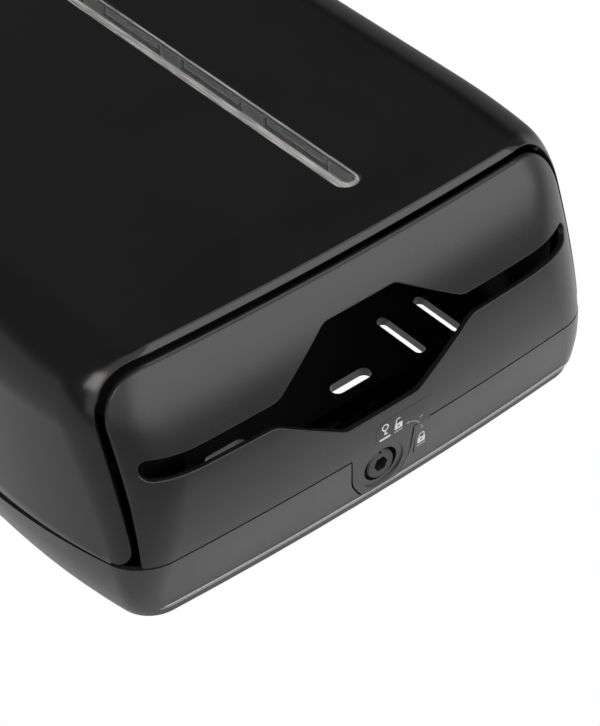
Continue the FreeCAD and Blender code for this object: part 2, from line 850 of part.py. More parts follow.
def window_channel():
    """Two ribbed walls behind the lens, with tall and low stretches in turn."""
    top = depth - shell_wall - lens_flange_thick
    half = window_width / 2
    channel = front_prism(window_outline(lens_flange - channel_setback), (top - channel_rim, top))
    channel = channel.cut(front_prism(window_outline(-channel_wall), (top - past, top + past)))
    root = top - channel_rim / 2
    for x in (window_x - half, window_x + half - channel_wall):
        for start, end, tall in channel_runs(window_high - half):
            wall = box((x, x + channel_wall), (top - tall, root), (start, end))
            channel = channel.fuse(wall)
    return one(channel)


def channel_runs(limit):
    """Stretches of the ribbed walls as (start, end, height), up to a limit."""
    runs = []
    up = window_low + channel_start
    while up + channel_short < limit:
        runs.append((up, up + channel_short, channel_high))
        long_start = up + channel_short + channel_gap
        runs.append((long_start, min(long_start + channel_long, limit), channel_low))
        up += channel_period
    return runs


# ---- lock -----------------------------------------------------------------------------
def housing_block(low, high, grow=0.0):
    """The housing's round barrel with its two screw ears, between two heights."""
    corner = ear_radius + grow
    reach = housing_ear[0] + corner
    front = lock_out + housing_ear[1] + corner
    ears = end_prism(rectangle((-reach, reach), (lock_out, front), corner - 0.01), (low, high))
    return rod(housing_radius + grow, high - low, at(0, lock_out, low), UPWARDS).fuse(ears)


def housing_screw_places():
    """Screws of the lock housing as (x, out)."""
    return [(sign * housing_ear[0], lock_out + housing_ear[1]) for sign in (-1, 1)]


def lock_housing():
    """Cup behind the tongue that the plunger slides in."""
    start = at(0, lock_out, housing_up)
    cup = housing_block(housing_up, housing_up + housing_length)
    bore = plunger_radius + plunger_clearance
    cup = cup.cut(rod(bore, 2 * past, start - UPWARDS * past, UPWARDS))
    chamber = plunger_flange + flange_clearance
    cup = cup.cut(rod(chamber, housing_length, start + UPWARDS * housing_wall, UPWARDS))
    for x, out in housing_screw_places():
        cup = cup.cut(screw_hole(at(x, out, housing_up - past), UPWARDS, 2 * past))
    return one(cup)


def housing_cap():
    """Plate that closes the housing and carries the spring."""
    low = housing_up + housing_length
    cap = housing_block(low, low + cap_thick)
    hole = core_radius + core_cap_clearance
    cap = cap.cut(rod(hole, 2 * past, at(0, lock_out, low - past), UPWARDS))
    for x, out in housing_screw_places():
        cap = cap.cut(screw_hole(at(x, out, low - past), UPWARDS, 2 * past))
    return one(cap)


def housing_screws():
    """Long screws through cap and housing into the panel."""
    top = housing_up + housing_length + cap_thick
    grip = cap_thick + housing_length + housing_bite - hole_margin
    return [screw(at(x, out, top), UPWARDS * -1, grip) for x, out in housing_screw_places()]


def lock_plunger():
    """Button that is pressed in against the spring, with a stop flange."""
    flange_up = housing_up + housing_wall + plunger_rest_gap
    face = at(0, lock_out, lock_face_up)
    body = rod(plunger_radius, flange_up - lock_face_up + plunger_flange_thick, face, UPWARDS)
    edge = Part.makeCone(plunger_radius - plunger_edge, plunger_radius, plunger_edge, face, UPWARDS)
    body = body.cut(rod(plunger_radius + past, plunger_edge, face, UPWARDS)).fuse(edge)
    body = body.fuse(rod(plunger_flange, plunger_flange_thick, at(0, lock_out, flange_up), UPWARDS))
    body = body.fuse(rod(core_radius + sleeve_wall, plunger_length, face, UPWARDS))
    bore = core_radius + pin_clearance
    body = body.cut(rod(bore, 3 * past, at(0, lock_out, -past), UPWARDS))
    seat = core_head_radius + core_head_clearance
    body = body.cut(rod(seat, core_head_length + core_head_clearance, face, UPWARDS))
    mark_out = (lock_out + mark_start, lock_out + plunger_radius + past)
    mark_up = (lock_face_up - past, lock_face_up + mark_depth)
    return one(body.cut(box((-mark_half, mark_half), mark_out, mark_up)))


def lock_core():
    """Core with the hexagon socket, that the key turns a quarter turn."""
    face = at(0, lock_out, lock_face_up)
    drive_low = cam_up()
    body = rod(core_radius, drive_low - lock_face_up, face, UPWARDS)
    body = body.fuse(rod(core_head_radius, core_head_length, face, UPWARDS))
    reach = socket_flats / math.sqrt(3)
    hexagon = []
    for corner in range(6):
        angle = math.radians(60 * corner)
        hexagon.append((reach * math.cos(angle), lock_out + reach * math.sin(angle), 0))
    body = body.cut(end_prism(hexagon, (lock_face_up - past, lock_face_up + socket_depth)))
    groove_up = lock_face_up + plunger_length + clip_groove_gap
    ring = rod(core_radius + past, clip_groove, at(0, lock_out, groove_up), UPWARDS)
    stem = rod(core_radius - clip_groove_depth, past, at(0, lock_out, groove_up), UPWARDS)
    body = body.cut(ring.cut(stem))
    body = body.fuse(square(drive_square / 2, (drive_low, drive_low + cam_thick)))
    hole_up = drive_low + cam_thick - cam_screw_grip
    hole = cam_screw_radius + pin_clearance
    return one(body.cut(rod(hole, past, at(0, lock_out, hole_up), UPWARDS)))


def square(half, heights):
    """A square bar on the lock's axis."""
    return box((-half, half), (lock_out - half, lock_out + half), heights)


def cam_up():
    """Height of the cam's lower face at rest."""
    return housing_up + housing_length + cap_thick + cam_gap


def lock_clip():
    """Split ring that keeps the core in the plunger."""
    up = lock_face_up + plunger_length + clip_groove_gap + clip_clearance
    start = at(0, lock_out, up)
    ring = rod(core_radius + clip_rim, clip_thick, start, UPWARDS)
    ring = ring.cut(rod(core_radius - clip_groove_depth + clip_clearance, past, start, UPWARDS))
    slit = box((-clip_slit_half, clip_slit_half), (lock_out, lock_out + past), (up, up + past))
    return one(ring.cut(slit))


def lock_cam():
    """Flat cam with a tooth at its tip, pointing across at rest."""
    low = cam_up()
    strap = box((-cam_tail, tooth_outer), (lock_out - cam_width / 2, lock_out + cam_width / 2),
                (low, low + cam_thick + tooth_height))
    rim = rod(tooth_outer, cam_thick + tooth_height, at(0, lock_out, low), UPWARDS)
    above_plate = rod(tooth_inner, past, at(0, lock_out, low + cam_thick), UPWARDS)
    cam = strap.common(rim).cut(above_plate)
    return one(cam.cut(square(drive_square / 2 + pin_clearance, (low - past, low + past))))


def cam_screw():
    """Screw that holds the cam on the core."""
    low = cam_up() + cam_thick
    head = rod(cam_screw_head, cam_screw_head_length, at(0, lock_out, low), UPWARDS)
    grip = cam_screw_grip - hole_margin
    shank = rod(cam_screw_radius, grip, at(0, lock_out, low - grip), UPWARDS)
    return one(head.fuse(shank))


def lock_spring():
    """Coil between the plunger's flange and the housing's cap."""
    low = housing_up + housing_wall + plunger_rest_gap + plunger_flange_thick + spring_wire
    high = housing_up + housing_length - spring_wire
    radius = (core_radius + sleeve_wall + plunger_flange) / 2
    start = at(0, lock_out, low)
    helix = Part.makeHelix((high - low) / spring_turns, high - low, radius)
    helix.translate(start)
    section = Part.Wire([Part.Circle(start + Vector(radius, 0, 0), Vector(0, 1, 0), spring_wire).toShape()])
    coil = Part.Wire(helix.Edges).makePipeShell([section], True, True)
    return one(coil)


# ---- labels ---------------------------------------------------------------------------
def skin_label(points):
    """A thin label on the lower end inside the corners (x, out, radius)."""
    skin = form(-label_thick).cut(outer)
    return one(skin.common(end_prism(points, (-past, corner_radius / 2))))


def legend_label():
    """Label on the end panel above the lock."""
    outs = (parting_out + legend_low_gap, legend_out)
    return skin_label(rectangle((legend_left, legend_right), outs, legend_corner))


def locked_label():
    """Small label on the body beside the lock, for the locked position."""
    outs = (locked_low, parting_out - locked_high_gap)
    return skin_label(rectangle((tongue_radius + locked_gap, legend_right), outs, locked_corner))


# ---- write one file for each node -----------------------------------------------------
guide = stack_guide()
pin = hinge_pin()
arm = hinge_arm()
nodes = {
    "back_body": back_body(),
    "towel_tray": towel_tray(),
    "stack_guide_right": guide,
    "stack_guide_left": mirrored(guide),
    "tray_screws": plate_screws(tray_screw_places(), strip_thick),
    "guide_screws": plate_screws(guide_screw_places(), guide_thick),
    "latch_keeper": latch_keeper(),
    "keeper_screws": plate_screws(keeper_screw_places(), keeper_sheet),
    "hinge_pin_right": pin,
    "hinge_pin_left": mirrored(pin),
    "locked_label": locked_label(),
    "cover_shell": cover_shell(),
    "end_panel": end_panel(),
    "panel_screws": panel_screws(),
    "legend_label": legend_label(),
    "window_lens": window_lens(),
    "window_channel": window_channel(),
    "hinge_arm_right": arm,
    "hinge_arm_left": mirrored(arm),
    "arm_screws": arm_screws(),
    "lock_housing": lock_housing(),
    "housing_cap": housing_cap(),
    "housing_screws": housing_screws(),
    "lock_spring": lock_spring(),
    "lock_plunger": lock_plunger(),
    "lock_core": lock_core(),
    "lock_clip": lock_clip(),
    "lock_cam": lock_cam(),
    "cam_screw": cam_screw(),
}
for name, shape in nodes.items():
    if isinstance(shape, list):
        shape = Part.makeCompound(shape)
    shape.exportStep("parts/" + name + ".step")
    print(name, len(shape.Solids), "solid(s)", round(shape.Volume / 1000, 2), "cm3", shape.isValid())
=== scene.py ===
"""Paper towel dispenser: surfaces, finishes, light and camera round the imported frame."""
import math

import bpy
import numpy as np
from mathutils import Matrix, Vector, geometry


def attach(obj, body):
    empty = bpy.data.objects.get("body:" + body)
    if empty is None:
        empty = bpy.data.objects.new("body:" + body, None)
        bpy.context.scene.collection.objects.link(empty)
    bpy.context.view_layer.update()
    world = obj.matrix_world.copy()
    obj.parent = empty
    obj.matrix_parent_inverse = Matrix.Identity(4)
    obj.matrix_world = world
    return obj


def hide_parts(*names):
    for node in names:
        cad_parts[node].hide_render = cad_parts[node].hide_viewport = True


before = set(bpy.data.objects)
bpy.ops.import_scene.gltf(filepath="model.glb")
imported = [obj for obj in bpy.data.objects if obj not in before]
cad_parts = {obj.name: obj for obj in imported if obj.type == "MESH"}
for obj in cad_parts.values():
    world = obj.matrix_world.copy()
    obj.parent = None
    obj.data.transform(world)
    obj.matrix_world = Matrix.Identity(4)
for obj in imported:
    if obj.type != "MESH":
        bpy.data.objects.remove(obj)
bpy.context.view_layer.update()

# Lengths are in millimetres as (x, out, up): out from the wall, up from the lowest point.
WIDTH, HEIGHT, DEPTH = 290.0, 400.0, 134.0
# The parting line from the wall: its foot, its least, its fall with the height and where that begins.
PARTING, PARTING_TOP, PARTING_SLOPE, PARTING_START = 34.6, 9.0, 0.111, 10.0
GAP = 0.7  # the parting line's open gap
BODY_DRAFT, SIDE_DRAFT = 4.7, 1.5  # how far the sides draw in to the wall and to the front
# The front's rounding, and the corner's radius at the front, at the parting line and at its widest.
FRONT_ROUND, FRONT_CORNER, CORNER, CORNER_WIDE = 34.0, 5.0, 23.0, 40.0
BOW = 1764.0  # the ends' crown across
END, BULGE = 135.0, 52.5  # their circle seen from the side, and how far out it is lowest
SIDE_BOW, SIDE_BOW_UP = 383.0, 99.0  # the sides' bow, and the height at which it runs out straight
LIP_ROUND = 1.1  # rounded edge between the ends and the front
# The shell's lower opening: half its width, its corner, the lip before it and the groove within it.
LIP_HALF, LIP_CORNER, LIP_WALL, GROOVE = 132.0, 28.0, 3.0, 2.2
SHELL_CORNER = 11.0  # corner between the opening and the parting line
SHELL_WALL, PANEL_WALL = 2.8, 3.0
FLANGE, PLATE_TOP = 5.0, 382.0  # thickness of the body's foot, upper end of its back plate
TURN = FRONT_ROUND * math.pi / 2  # run of the rounding from the front to the side
FRONT_START = 0.01  # run at which the flat front begins
LOCK = 20.6  # the lock's axis from the wall
BUTTON_HOLE = 9.5  # radius of the panel's hole round the button
DISH_RADIUS, DISH_SLOPE, DISH_DEEP = 13.3, 0.9, 0.9  # the shallow dish about the lock
TONGUE_RADIUS = 17.0  # the tongue round the dish
ARM_OUT, ARM_HALF = 83.4, 5.1  # the towel opening's arms: middle line and half width
WINDOW_X, WINDOW_HALF, WINDOW_LOW, WINDOW_HIGH = 34.0, 6.8, 56.0, 344.0
LENS_SUNK, LENS_EDGE, LENS_GAP = 0.5, 0.9, 0.15  # its face below the front, rounded edge, side gap
LENS_FLANGE, LENS_THICK = 3.2, 1.5  # its flange behind the shell: overlap and thickness
END_POINTS = 25  # points round each end of the lens, an odd number
# The lens is clear about a line this far right of its middle, up to a half width; frosted further out.
CLEAR_SHIFT, CLEAR_HALF, CLEAR_END = 1.2, 3.3, 4.3
LABEL, THIN_LABEL, INK = 0.1, 0.03, 0.03  # thickness of the films and of the print on them
SINK = 0.01  # how far thin layers go into what they lie on
RIM_RADIUS, RIM_SUNK, RIM_ABOVE = 1.0, 0.6, 0.7  # bead on the body, above its foot
EDGE_ANGLES = (0, 22.5, 45, 67.5, 90)  # steps by which a sheet's edge turns in
EDGE_BAND = 0.35  # strip along a turned edge
PROBE = 0.2  # step that tells a sheet's inside from its outside
EDGE_CLEAR, JOINT_CLEAR = 0.6, 0.05  # room kept between an outline and the points inside it


def metres(points):
    """(x, out, up) in millimetres to the frame's metres."""
    points = np.asarray(points, float)
    return np.stack([points[..., 0], -points[..., 1], points[..., 2] - HEIGHT / 2], -1) / 1000


# ---- the outer form
def rise(out):
    """Lowest line of an end: a circle of radius END about BULGE, straight from the parting line to
    the wall, and a circle of radius LIP_ROUND that takes it round into the front."""
    out = np.asarray(out, float)
    curve = END - np.sqrt(END ** 2 - (np.maximum(out, PARTING) - BULGE) ** 2)
    curve = curve + BODY_DRAFT * np.maximum(1 - out / PARTING, 0)
    middle = DEPTH - LIP_ROUND
    centre = END - math.sqrt((END - LIP_ROUND) ** 2 - (middle - BULGE) ** 2)
    touch = BULGE + (middle - BULGE) * END / (END - LIP_ROUND)
    lip = centre - np.sqrt(np.maximum(LIP_ROUND ** 2 - np.maximum(out - middle, 0) ** 2, 0))
    return np.where(out > touch, lip, curve)


def out_of(run):
    """Distance from the wall at a run back from the front: a quarter circle, then straight."""
    run = np.asarray(run, float)
    angle = math.pi / 2 - np.minimum(run, TURN) / FRONT_ROUND
    return DEPTH - FRONT_ROUND + FRONT_ROUND * np.sin(angle) - np.maximum(run - TURN, 0)


def run_of(out):
    """The run back from the front at a distance from the wall."""
    out = np.asarray(out, float)
    turn = np.clip((out - (DEPTH - FRONT_ROUND)) / FRONT_ROUND, 0, 1)
    return FRONT_ROUND * (math.pi / 2 - np.arcsin(turn)) + np.maximum(DEPTH - FRONT_ROUND - out, 0)


def level(run):
    """Half width, rise and corner radius at a run back from the front. The sides draw in evenly to the
    wall and to the front, then by the front's quarter circle; the corner's radius grows by a sine from
    the parting line on and shrinks again by the same quarter circle."""
    out = out_of(run)
    cosine = np.sin(np.minimum(run, TURN) / FRONT_ROUND)
    share = np.clip((out - PARTING) / (DEPTH - FRONT_ROUND - PARTING), 0, 1)
    draft = BODY_DRAFT * np.maximum(1 - out / PARTING, 0)
    half = WIDTH / 2 - SIDE_DRAFT * share - draft - FRONT_ROUND * (1 - cosine)
    wide = CORNER + (CORNER_WIDE - CORNER) * np.sin(share * math.pi / 2)
    corner = FRONT_CORNER + (wide - FRONT_CORNER) * cosine - draft
    return half, rise(out), corner


def arcs(half, low, corner):
    """The circles of a quarter outline: the crown of the end, the corner and the bow of the side,
    each touching the next. Gives the centres and the angles where they touch."""
    bow = np.stack([np.zeros_like(half), low + BOW], -1)
    side = np.stack([half - SIDE_BOW, np.full_like(half, SIDE_BOW_UP)], -1)
    line = side - bow
    span = np.linalg.norm(line, axis=-1)
    near, far = BOW - corner, SIDE_BOW - corner
    along = (near ** 2 - far ** 2 + span ** 2) / (2 * span)
    across = np.sqrt(near ** 2 - along ** 2)
    line = line / span[..., None]
    normal = np.stack([-line[..., 1], line[..., 0]], -1)
    centre = bow + line * along[..., None]
    first, second = centre + normal * across[..., None], centre - normal * across[..., None]
    centre = np.where((first[..., :1] > second[..., :1]), first, second)
    angle_low = np.arctan2(centre[..., 1] - bow[..., 1], centre[..., 0] - bow[..., 0])
    angle_side = np.arctan2(centre[..., 1] - side[..., 1], centre[..., 0] - side[..., 0])
    return bow, centre, side, angle_low, angle_side


def around(place, run):
    """A point of the form and its outline's direction outwards. Place goes once round in 16:
    crown of the end, corner, bow and straight of the side take 1 each, in four mirrored quarters."""
    place, run = np.broadcast_arrays(np.asarray(place, float) % 16, np.asarray(run, float))
    quarter = np.floor(place / 4).astype(int)
    w = np.where(quarter % 2 == 0, place - 4 * quarter, 4 * quarter + 4 - place)
    out = out_of(run)
    half, low, corner = level(run)
    bow, centre, side, angle_low, angle_side = arcs(half, low, corner)
    down = -math.pi / 2
    share = np.clip(w, 0, 1)
    a0 = down + (angle_low - down) * share
    a1 = angle_low + (angle_side - angle_low) * np.clip(w - 1, 0, 1)
    a2 = angle_side * (1 - np.clip(w - 2, 0, 1))
    angle = np.where(w <= 1, a0, np.where(w <= 2, a1, a2))
    origin = np.where((w <= 1)[..., None], bow, np.where((w <= 2)[..., None], centre, side))
    radius = np.where(w <= 1, BOW, np.where(w <= 2, corner, SIDE_BOW))
    x = origin[..., 0] + radius * np.cos(angle)
    up = origin[..., 1] + radius * np.sin(angle) + (HEIGHT / 2 - SIDE_BOW_UP) * np.clip(w - 3, 0, 1)
    flip_x = np.where(quarter >= 2, -1.0, 1.0)
    upper = (quarter == 1) | (quarter == 2)
    point = np.stack([x * flip_x, out, np.where(upper, HEIGHT - up, up)], -1)
    away = np.stack([np.cos(angle) * flip_x, np.where(upper, -np.sin(angle), np.sin(angle))], -1)
    return point, away


def lower_end(x, out):
    """Height of the lower end's surface: the crown's circle, then the corner's."""
    half, low, corner = level(run_of(out))
    bow, centre, side, angle_low, angle_side = arcs(half, low, corner)
    x = np.abs(x)
    touch = BOW * np.cos(angle_low)
    crown = bow[..., 1] - np.sqrt(BOW ** 2 - x ** 2)
    bend = centre[..., 1] - np.sqrt(np.maximum(corner ** 2 - (x - centre[..., 0]) ** 2, 0))
    return np.where(x <= touch, crown, bend)


def parting(up):
    """Distance of the parting line from the wall at a height."""
    return np.clip(PARTING - PARTING_SLOPE * (up - PARTING_START), PARTING_TOP, PARTING)


def place_at(x, out):
    """Place round the form where the lower end has the given x, found by halving."""
    low, high = np.zeros_like(x), np.full_like(x, 2.6)
    for _ in range(45):
        middle = (low + high) / 2
        beyond = around(middle, run_of(out))[0][..., 0] > x
        high, low = np.where(beyond, middle, high), np.where(beyond, low, middle)
    return (low + high) / 2


# ---- skins
def rounded(corners, spacing=2.0):
    """Points along a closed outline of (a, b, radius) corners: arcs, and straights between them."""
    corners = np.asarray(corners, float)
    path = []
    for i, (a, b, radius) in enumerate(corners):
        here = np.array([a, b])
        before = corners[i - 1, :2] - here
        after = corners[(i + 1) % len(corners), :2] - here
        before, after = before / np.linalg.norm(before), after / np.linalg.norm(after)
        half = math.acos(np.clip(before @ after, -1, 1)) / 2
        middle = (before + after) / np.linalg.norm(before + after)
        centre = here + middle * radius / math.sin(half)
        start = here + before * radius / math.tan(half) - centre
        finish = here + after * radius / math.tan(half) - centre
        if radius < 0.05:
            path.append(here)
            continue
        sweep = math.atan2(start[0] * finish[1] - start[1] * finish[0], start @ finish)
        count = max(int(abs(sweep) * max(radius, 2.0) / 1.0), 4)
        for share in np.linspace(0, 1, count + 1):
            cosine, sine = math.cos(sweep * share), math.sin(sweep * share)
            turned = (cosine * start[0] - sine * start[1], sine * start[0] + cosine * start[1])
            path.append(centre + np.array(turned))
    return spaced(np.array(path), spacing)


def spaced(path, spacing):
    """Adds points on the long straights of a closed path."""
    filled = []
    for here, following in zip(path, np.roll(path, -1, axis=0)):
        count = max(int(np.linalg.norm(following - here) / spacing), 1)
        filled.append(here + (following - here) * np.linspace(0, 1, count, endpoint=False)[:, None])
    return np.concatenate(filled)


def mirrored(half):
    """Corners that are the same on both sides, from the first side's."""
    return half + [(-x, b, radius) for x, b, radius in reversed(half)]


def within(points, loops):
    """Which points lie inside an outline with holes, by counting crossings."""
    crossings = np.zeros(len(points), int)
    for loop in loops:
        a, b = loop, np.roll(loop, -1, axis=0)
        for first in range(0, len(points), 4000):
            x, y = points[first:first + 4000, 0][:, None], points[first:first + 4000, 1][:, None]
            spans = (a[:, 1] > y) != (b[:, 1] > y)
            slope = (b[:, 0] - a[:, 0]) / np.where(b[:, 1] == a[:, 1], 1e-12, b[:, 1] - a[:, 1])
            crossings[first:first + 4000] += (spans & (x < a[:, 0] + slope * (y - a[:, 1]))).sum(1)
    return crossings % 2 == 1


def directions(surface, at):
    """The two directions of a surface at its parameters, by central differences."""
    h = 1e-3
    one = (surface(at + [h, 0]) - surface(at - [h, 0])) / (2 * h)
    two = (surface(at + [0, h]) - surface(at - [0, h])) / (2 * h)
    return one, two


def unit(vectors):
    """Vectors scaled to length one."""
    return vectors / np.maximum(np.linalg.norm(vectors, axis=-1, keepdims=True), 1e-12)


def spacing_to(points, loop, limit):
    """How far points lie from a closed line of straight pieces, beyond each piece's limit."""
    along = np.roll(loop, -1, axis=0) - loop
    length = np.maximum((along ** 2).sum(1), 1e-12)
    nearest = []
    for first in range(0, len(points), 1000):
        away = points[first:first + 1000, None] - loop[None]
        share = np.clip((away * along).sum(-1) / length, 0, 1)
        nearest.append((np.linalg.norm(away - share[..., None] * along, axis=-1) - limit).min(1))
    return np.concatenate(nearest)


def quads(a, b, c, d, facing):
    """Two triangles for each four corners in a row, with the normals of the corners."""
    na, nb, nc, nd = facing
    corners = np.concatenate([np.stack([a, b, c], 1), np.stack([a, c, d], 1)])
    shades = np.concatenate([np.stack([na, nb, nc], 1), np.stack([na, nc, nd], 1)])
    return corners, shades


def inward_of(surface, flat, loop, bases, side):
    """The way into a sheet from its outline: a change of the parameters that measures 1 mm on the
    surface, and the direction in space, square to the outline and to the surface's normal."""
    place = surface(loop)
    one, two = directions(surface, loop)
    normal = unit(np.cross(one, two)) * side
    tangent = unit(np.roll(place, -1, axis=0) - np.roll(place, 1, axis=0))
    inward = unit(np.cross(normal, tangent))
    gram = np.stack([np.stack([(one * one).sum(1), (one * two).sum(1)], -1),
                     np.stack([(one * two).sum(1), (two * two).sum(1)], -1)], -2)
    target = np.stack([(one * inward).sum(1), (two * inward).sum(1)], -1)
    change = np.linalg.solve(gram, target[..., None])[..., 0]
    if within(flat(loop + change * PROBE), bases).mean() < 0.5:
        return -change, -inward
    return change, inward


def edge_rows(loop, edge, change, inward):
    """Rows of points by which an edge turns in through a quarter circle, with a narrow strip beside it:
    each row's parameters, depth under the surface and the lean of its normals."""
    rows = [(loop + change * edge[:, None] * (1 - math.cos(angle)), edge * (1 - math.sin(angle)),
             -inward * math.cos(angle)) for angle in np.radians(EDGE_ANGLES)]
    return rows + [(loop + change * (edge[:, None] + EDGE_BAND), edge * 0, inward * 0)]


def triangles_of(plane, chains, bases):
    """Triangles between points of a plane that keep to its chains and lie within its outlines."""
    found = geometry.delaunay_2d_cdt([Vector(point) for point in plane], chains, [], 0, 1e-7)
    origin = np.array([source[0] if source else -1 for source in found[3]])
    triangles = origin[np.array([face for face in found[2] if len(face) == 3])]
    triangles = triangles[(triangles >= 0).all(1)]
    return triangles[within(plane[triangles].mean(1), bases)]


def skin(surface, flat, loops, points, wall, side=1):
    """A sheet of even thickness on a surface. Loops are outlines in the surface's parameters with the
    radius of the quarter circle by which their edge turns in, or 0 where another sheet joins on;
    flat maps the parameters to a plane, where the triangles are found. Gives corners and normals."""
    bases = [flat(loop) for loop, edge in loops]
    inside = points[within(flat(points), bases)]
    rows, chains, rims = [], [], []
    start = 0
    for loop, edge in loops:
        edge = np.broadcast_to(edge, len(loop))
        free = edge.max() > 0
        added = [(loop, edge, np.zeros((len(loop), 3)))]
        if free:
            change, inward = inward_of(surface, flat, loop, bases, side)
            added = edge_rows(loop, edge, change, inward)
            rims.append((start, -inward))
        for row in added:
            ids = range(start, start + len(loop))
            chains += zip(ids, [*ids[1:], start])
            start += len(loop)
        rows += added
        limit = edge + (EDGE_CLEAR if free else JOINT_CLEAR)
        inside = inside[spacing_to(surface(inside), surface(loop), limit) > 0]
    rows.append((inside, np.zeros(len(inside)), np.zeros((len(inside), 3))))
    at, depth, lean = (np.concatenate(part) for part in zip(*rows))
    one, two = directions(surface, at)
    normal = unit(np.cross(one, two)) * side
    outer = surface(at) - normal * depth[:, None]
    inner = surface(at) - normal * wall
    turned = unit(lean + normal * np.sqrt(np.maximum(1 - (lean ** 2).sum(1, keepdims=True), 0)))
    triangles = triangles_of(flat(at), chains, bases)
    corners = [outer[triangles], inner[triangles]]
    shades = [turned[triangles], -normal[triangles]]
    for start, facing in rims:
        here = start + np.arange(len(facing))
        after = np.roll(here, -1)
        onward = np.roll(facing, -1, axis=0)
        rim = quads(outer[here], outer[after], inner[after], inner[here],
                    (facing, onward, onward, facing))
        corners.append(rim[0])
        shades.append(rim[1])
    return np.concatenate(corners), np.concatenate(shades)


def build(name, sheets, material, body, *nodes):
    """One object from sheets of (corners, normals) in millimetres: equal corners are joined, each
    triangle is turned to agree with its normals, and the normals are kept for shading."""
    corners = np.concatenate([s[0] for s in sheets])
    shades = np.concatenate([s[1] for s in sheets])
    corners, shades = metres(corners), shades * [1, -1, 1]
    facing = np.cross(corners[:, 1] - corners[:, 0], corners[:, 2] - corners[:, 0])
    wrong = (facing * shades.sum(1)).sum(1) < 0
    corners[wrong], shades[wrong] = corners[wrong][:, ::-1], shades[wrong][:, ::-1]
    keys, index = np.unique(np.round(corners.reshape(-1, 3), 7), axis=0, return_inverse=True)
    faces = index.reshape(-1, 3)
    whole = (faces[:, 0] != faces[:, 1]) & (faces[:, 1] != faces[:, 2]) & (faces[:, 0] != faces[:, 2])
    faces, shades = faces[whole], shades[whole]
    mesh = bpy.data.meshes.new(name)
    mesh.from_pydata(keys.tolist(), [], faces.tolist())
    mesh.polygons.foreach_set("use_smooth", np.ones(len(faces), bool))
    mesh.normals_split_custom_set(unit(shades).reshape(-1, 3).tolist())
    mesh.materials.append(material)
    piece = bpy.data.objects.new(name, mesh)
    bpy.context.collection.objects.link(piece)
    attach(piece, body)
    if nodes:
        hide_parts(*nodes)


# ---- finishes
def linear(code):
    """A six-digit sRGB colour as linear values."""
    values = [int(code[i:i + 2], 16) / 255 for i in (0, 2, 4)]
    return tuple(v / 12.92 if v <= 0.04045 else ((v + 0.055) / 1.055) ** 2.4 for v in values) + (1.0,)


def node(tree, kind, settings=None, links=None):
    """Adds a node, sets its properties and input values, and links its inputs."""
    made = tree.nodes.new(kind)
    for key, value in (settings or {}).items():
        if isinstance(key, int) or key in made.inputs:
            made.inputs[key].default_value = value
        else:
            setattr(made, key, value)
    for key, source in (links or {}).items():
        tree.links.new(source, made.inputs[key])
    return made


def between(tree, source, low, high, dark, light):
    """A colour that goes from dark to light as a value goes from low to high."""
    share = node(tree, "ShaderNodeMapRange", {1: low, 2: high}, {0: source})
    return node(tree, "ShaderNodeMix", {"data_type": "RGBA", 6: linear(dark), 7: linear(light)},
                {0: share.outputs[0]}).outputs[2]


def blank(name):
    """A new material with its tree, its shader and the object's own coordinates in metres."""
    material = bpy.data.materials.new(name)
    material.use_nodes = True
    tree = material.node_tree
    place = node(tree, "ShaderNodeTexCoord").outputs["Object"]
    return material, tree, tree.nodes["Principled BSDF"], place


def uneven(tree, shader, clouds, grain, dark, light, roughness, part):
    """Colours the shader between two near colours by one noise, and lets another move its roughness up
    and down by a part of itself."""
    tree.links.new(between(tree, clouds.outputs["Fac"], 0.35, 0.65, dark, light),
                   shader.inputs["Base Color"])
    tone = node(tree, "ShaderNodeMapRange",
                {1: 0.3, 2: 0.7, 3: roughness * (1 - part), 4: roughness * (1 + part)},
                {0: grain.outputs["Fac"]})
    tree.links.new(tone.outputs[0], shader.inputs["Roughness"])


def moulded(name, dark, light, roughness, grain_mm, grain_depth, specular=0.5, ior=1.5):
    """Moulded plastic: two near colours in slow clouds, and the grain of its mould in millimetres."""
    material, tree, shader, place = blank(name)
    clouds = node(tree, "ShaderNodeTexNoise", {"Scale": 1000 / CLOUD_MM, "Detail": 3.0},
                  {"Vector": place})
    grain = node(tree, "ShaderNodeTexNoise", {"Scale": 1000 / grain_mm, "Detail": 2.0},
                 {"Vector": place})
    uneven(tree, shader, clouds, grain, dark, light, roughness, 0.08)
    bump = node(tree, "ShaderNodeBump", {"Strength": 1.0, "Distance": grain_depth / 1000},
                {"Height": grain.outputs["Fac"]})
    tree.links.new(bump.outputs["Normal"], shader.inputs["Normal"])
    shader.inputs["IOR"].default_value = ior
    shader.inputs["Specular IOR Level"].default_value = specular
    return material


def metal(name, dark, light, roughness):
    """Worked metal, drawn or plated, with fine uneven gloss."""
    material, tree, shader, place = blank(name)
    spots = node(tree, "ShaderNodeTexNoise", {"Scale": 1000 / SPOT_MM, "Detail": 4.0},
                 {"Vector": place})
    uneven(tree, shader, spots, spots, dark, light, roughness, 0.2)
    shader.inputs["Metallic"].default_value = 1.0
    return material


CLOUD_MM, SPOT_MM = 60.0, 3.0  # size of the plastics' slow clouds and of the metals' spots

# Real mould grain measures a tenth of a millimetre: all of these are coarser, so that they show.
# Satin ABS of the cover: near black, with a faint fine grain that breaks its gloss.
cover_abs = moulded("cover_satin_black_abs", "0d0d0e", "121213", 0.18, 0.5, 0.002)
# Spark-eroded ABS of the end panel: fine matte grain that greys it in the light.
panel_abs = moulded("panel_fine_grained_abs", "1f1d1d", "252323", 0.29, 0.55, 0.012)
# The same grain on the body, in a lighter black.
body_abs = moulded("body_fine_grained_abs", "353233", "3d3a3b", 0.3, 0.55, 0.01)
# Polypropylene of the inner parts: plain black from the tool.
inner_pp = moulded("inner_black_polypropylene", "060607", "0a0a0b", 0.45, 1.2, 0.01, specular=0.25)
# Acetal of the lock's button: slightly waxy black, as grey in the light as the panel.
lock_acetal = moulded("lock_black_acetal", "2c2c2d", "343435", 0.42, 0.4, 0.01)
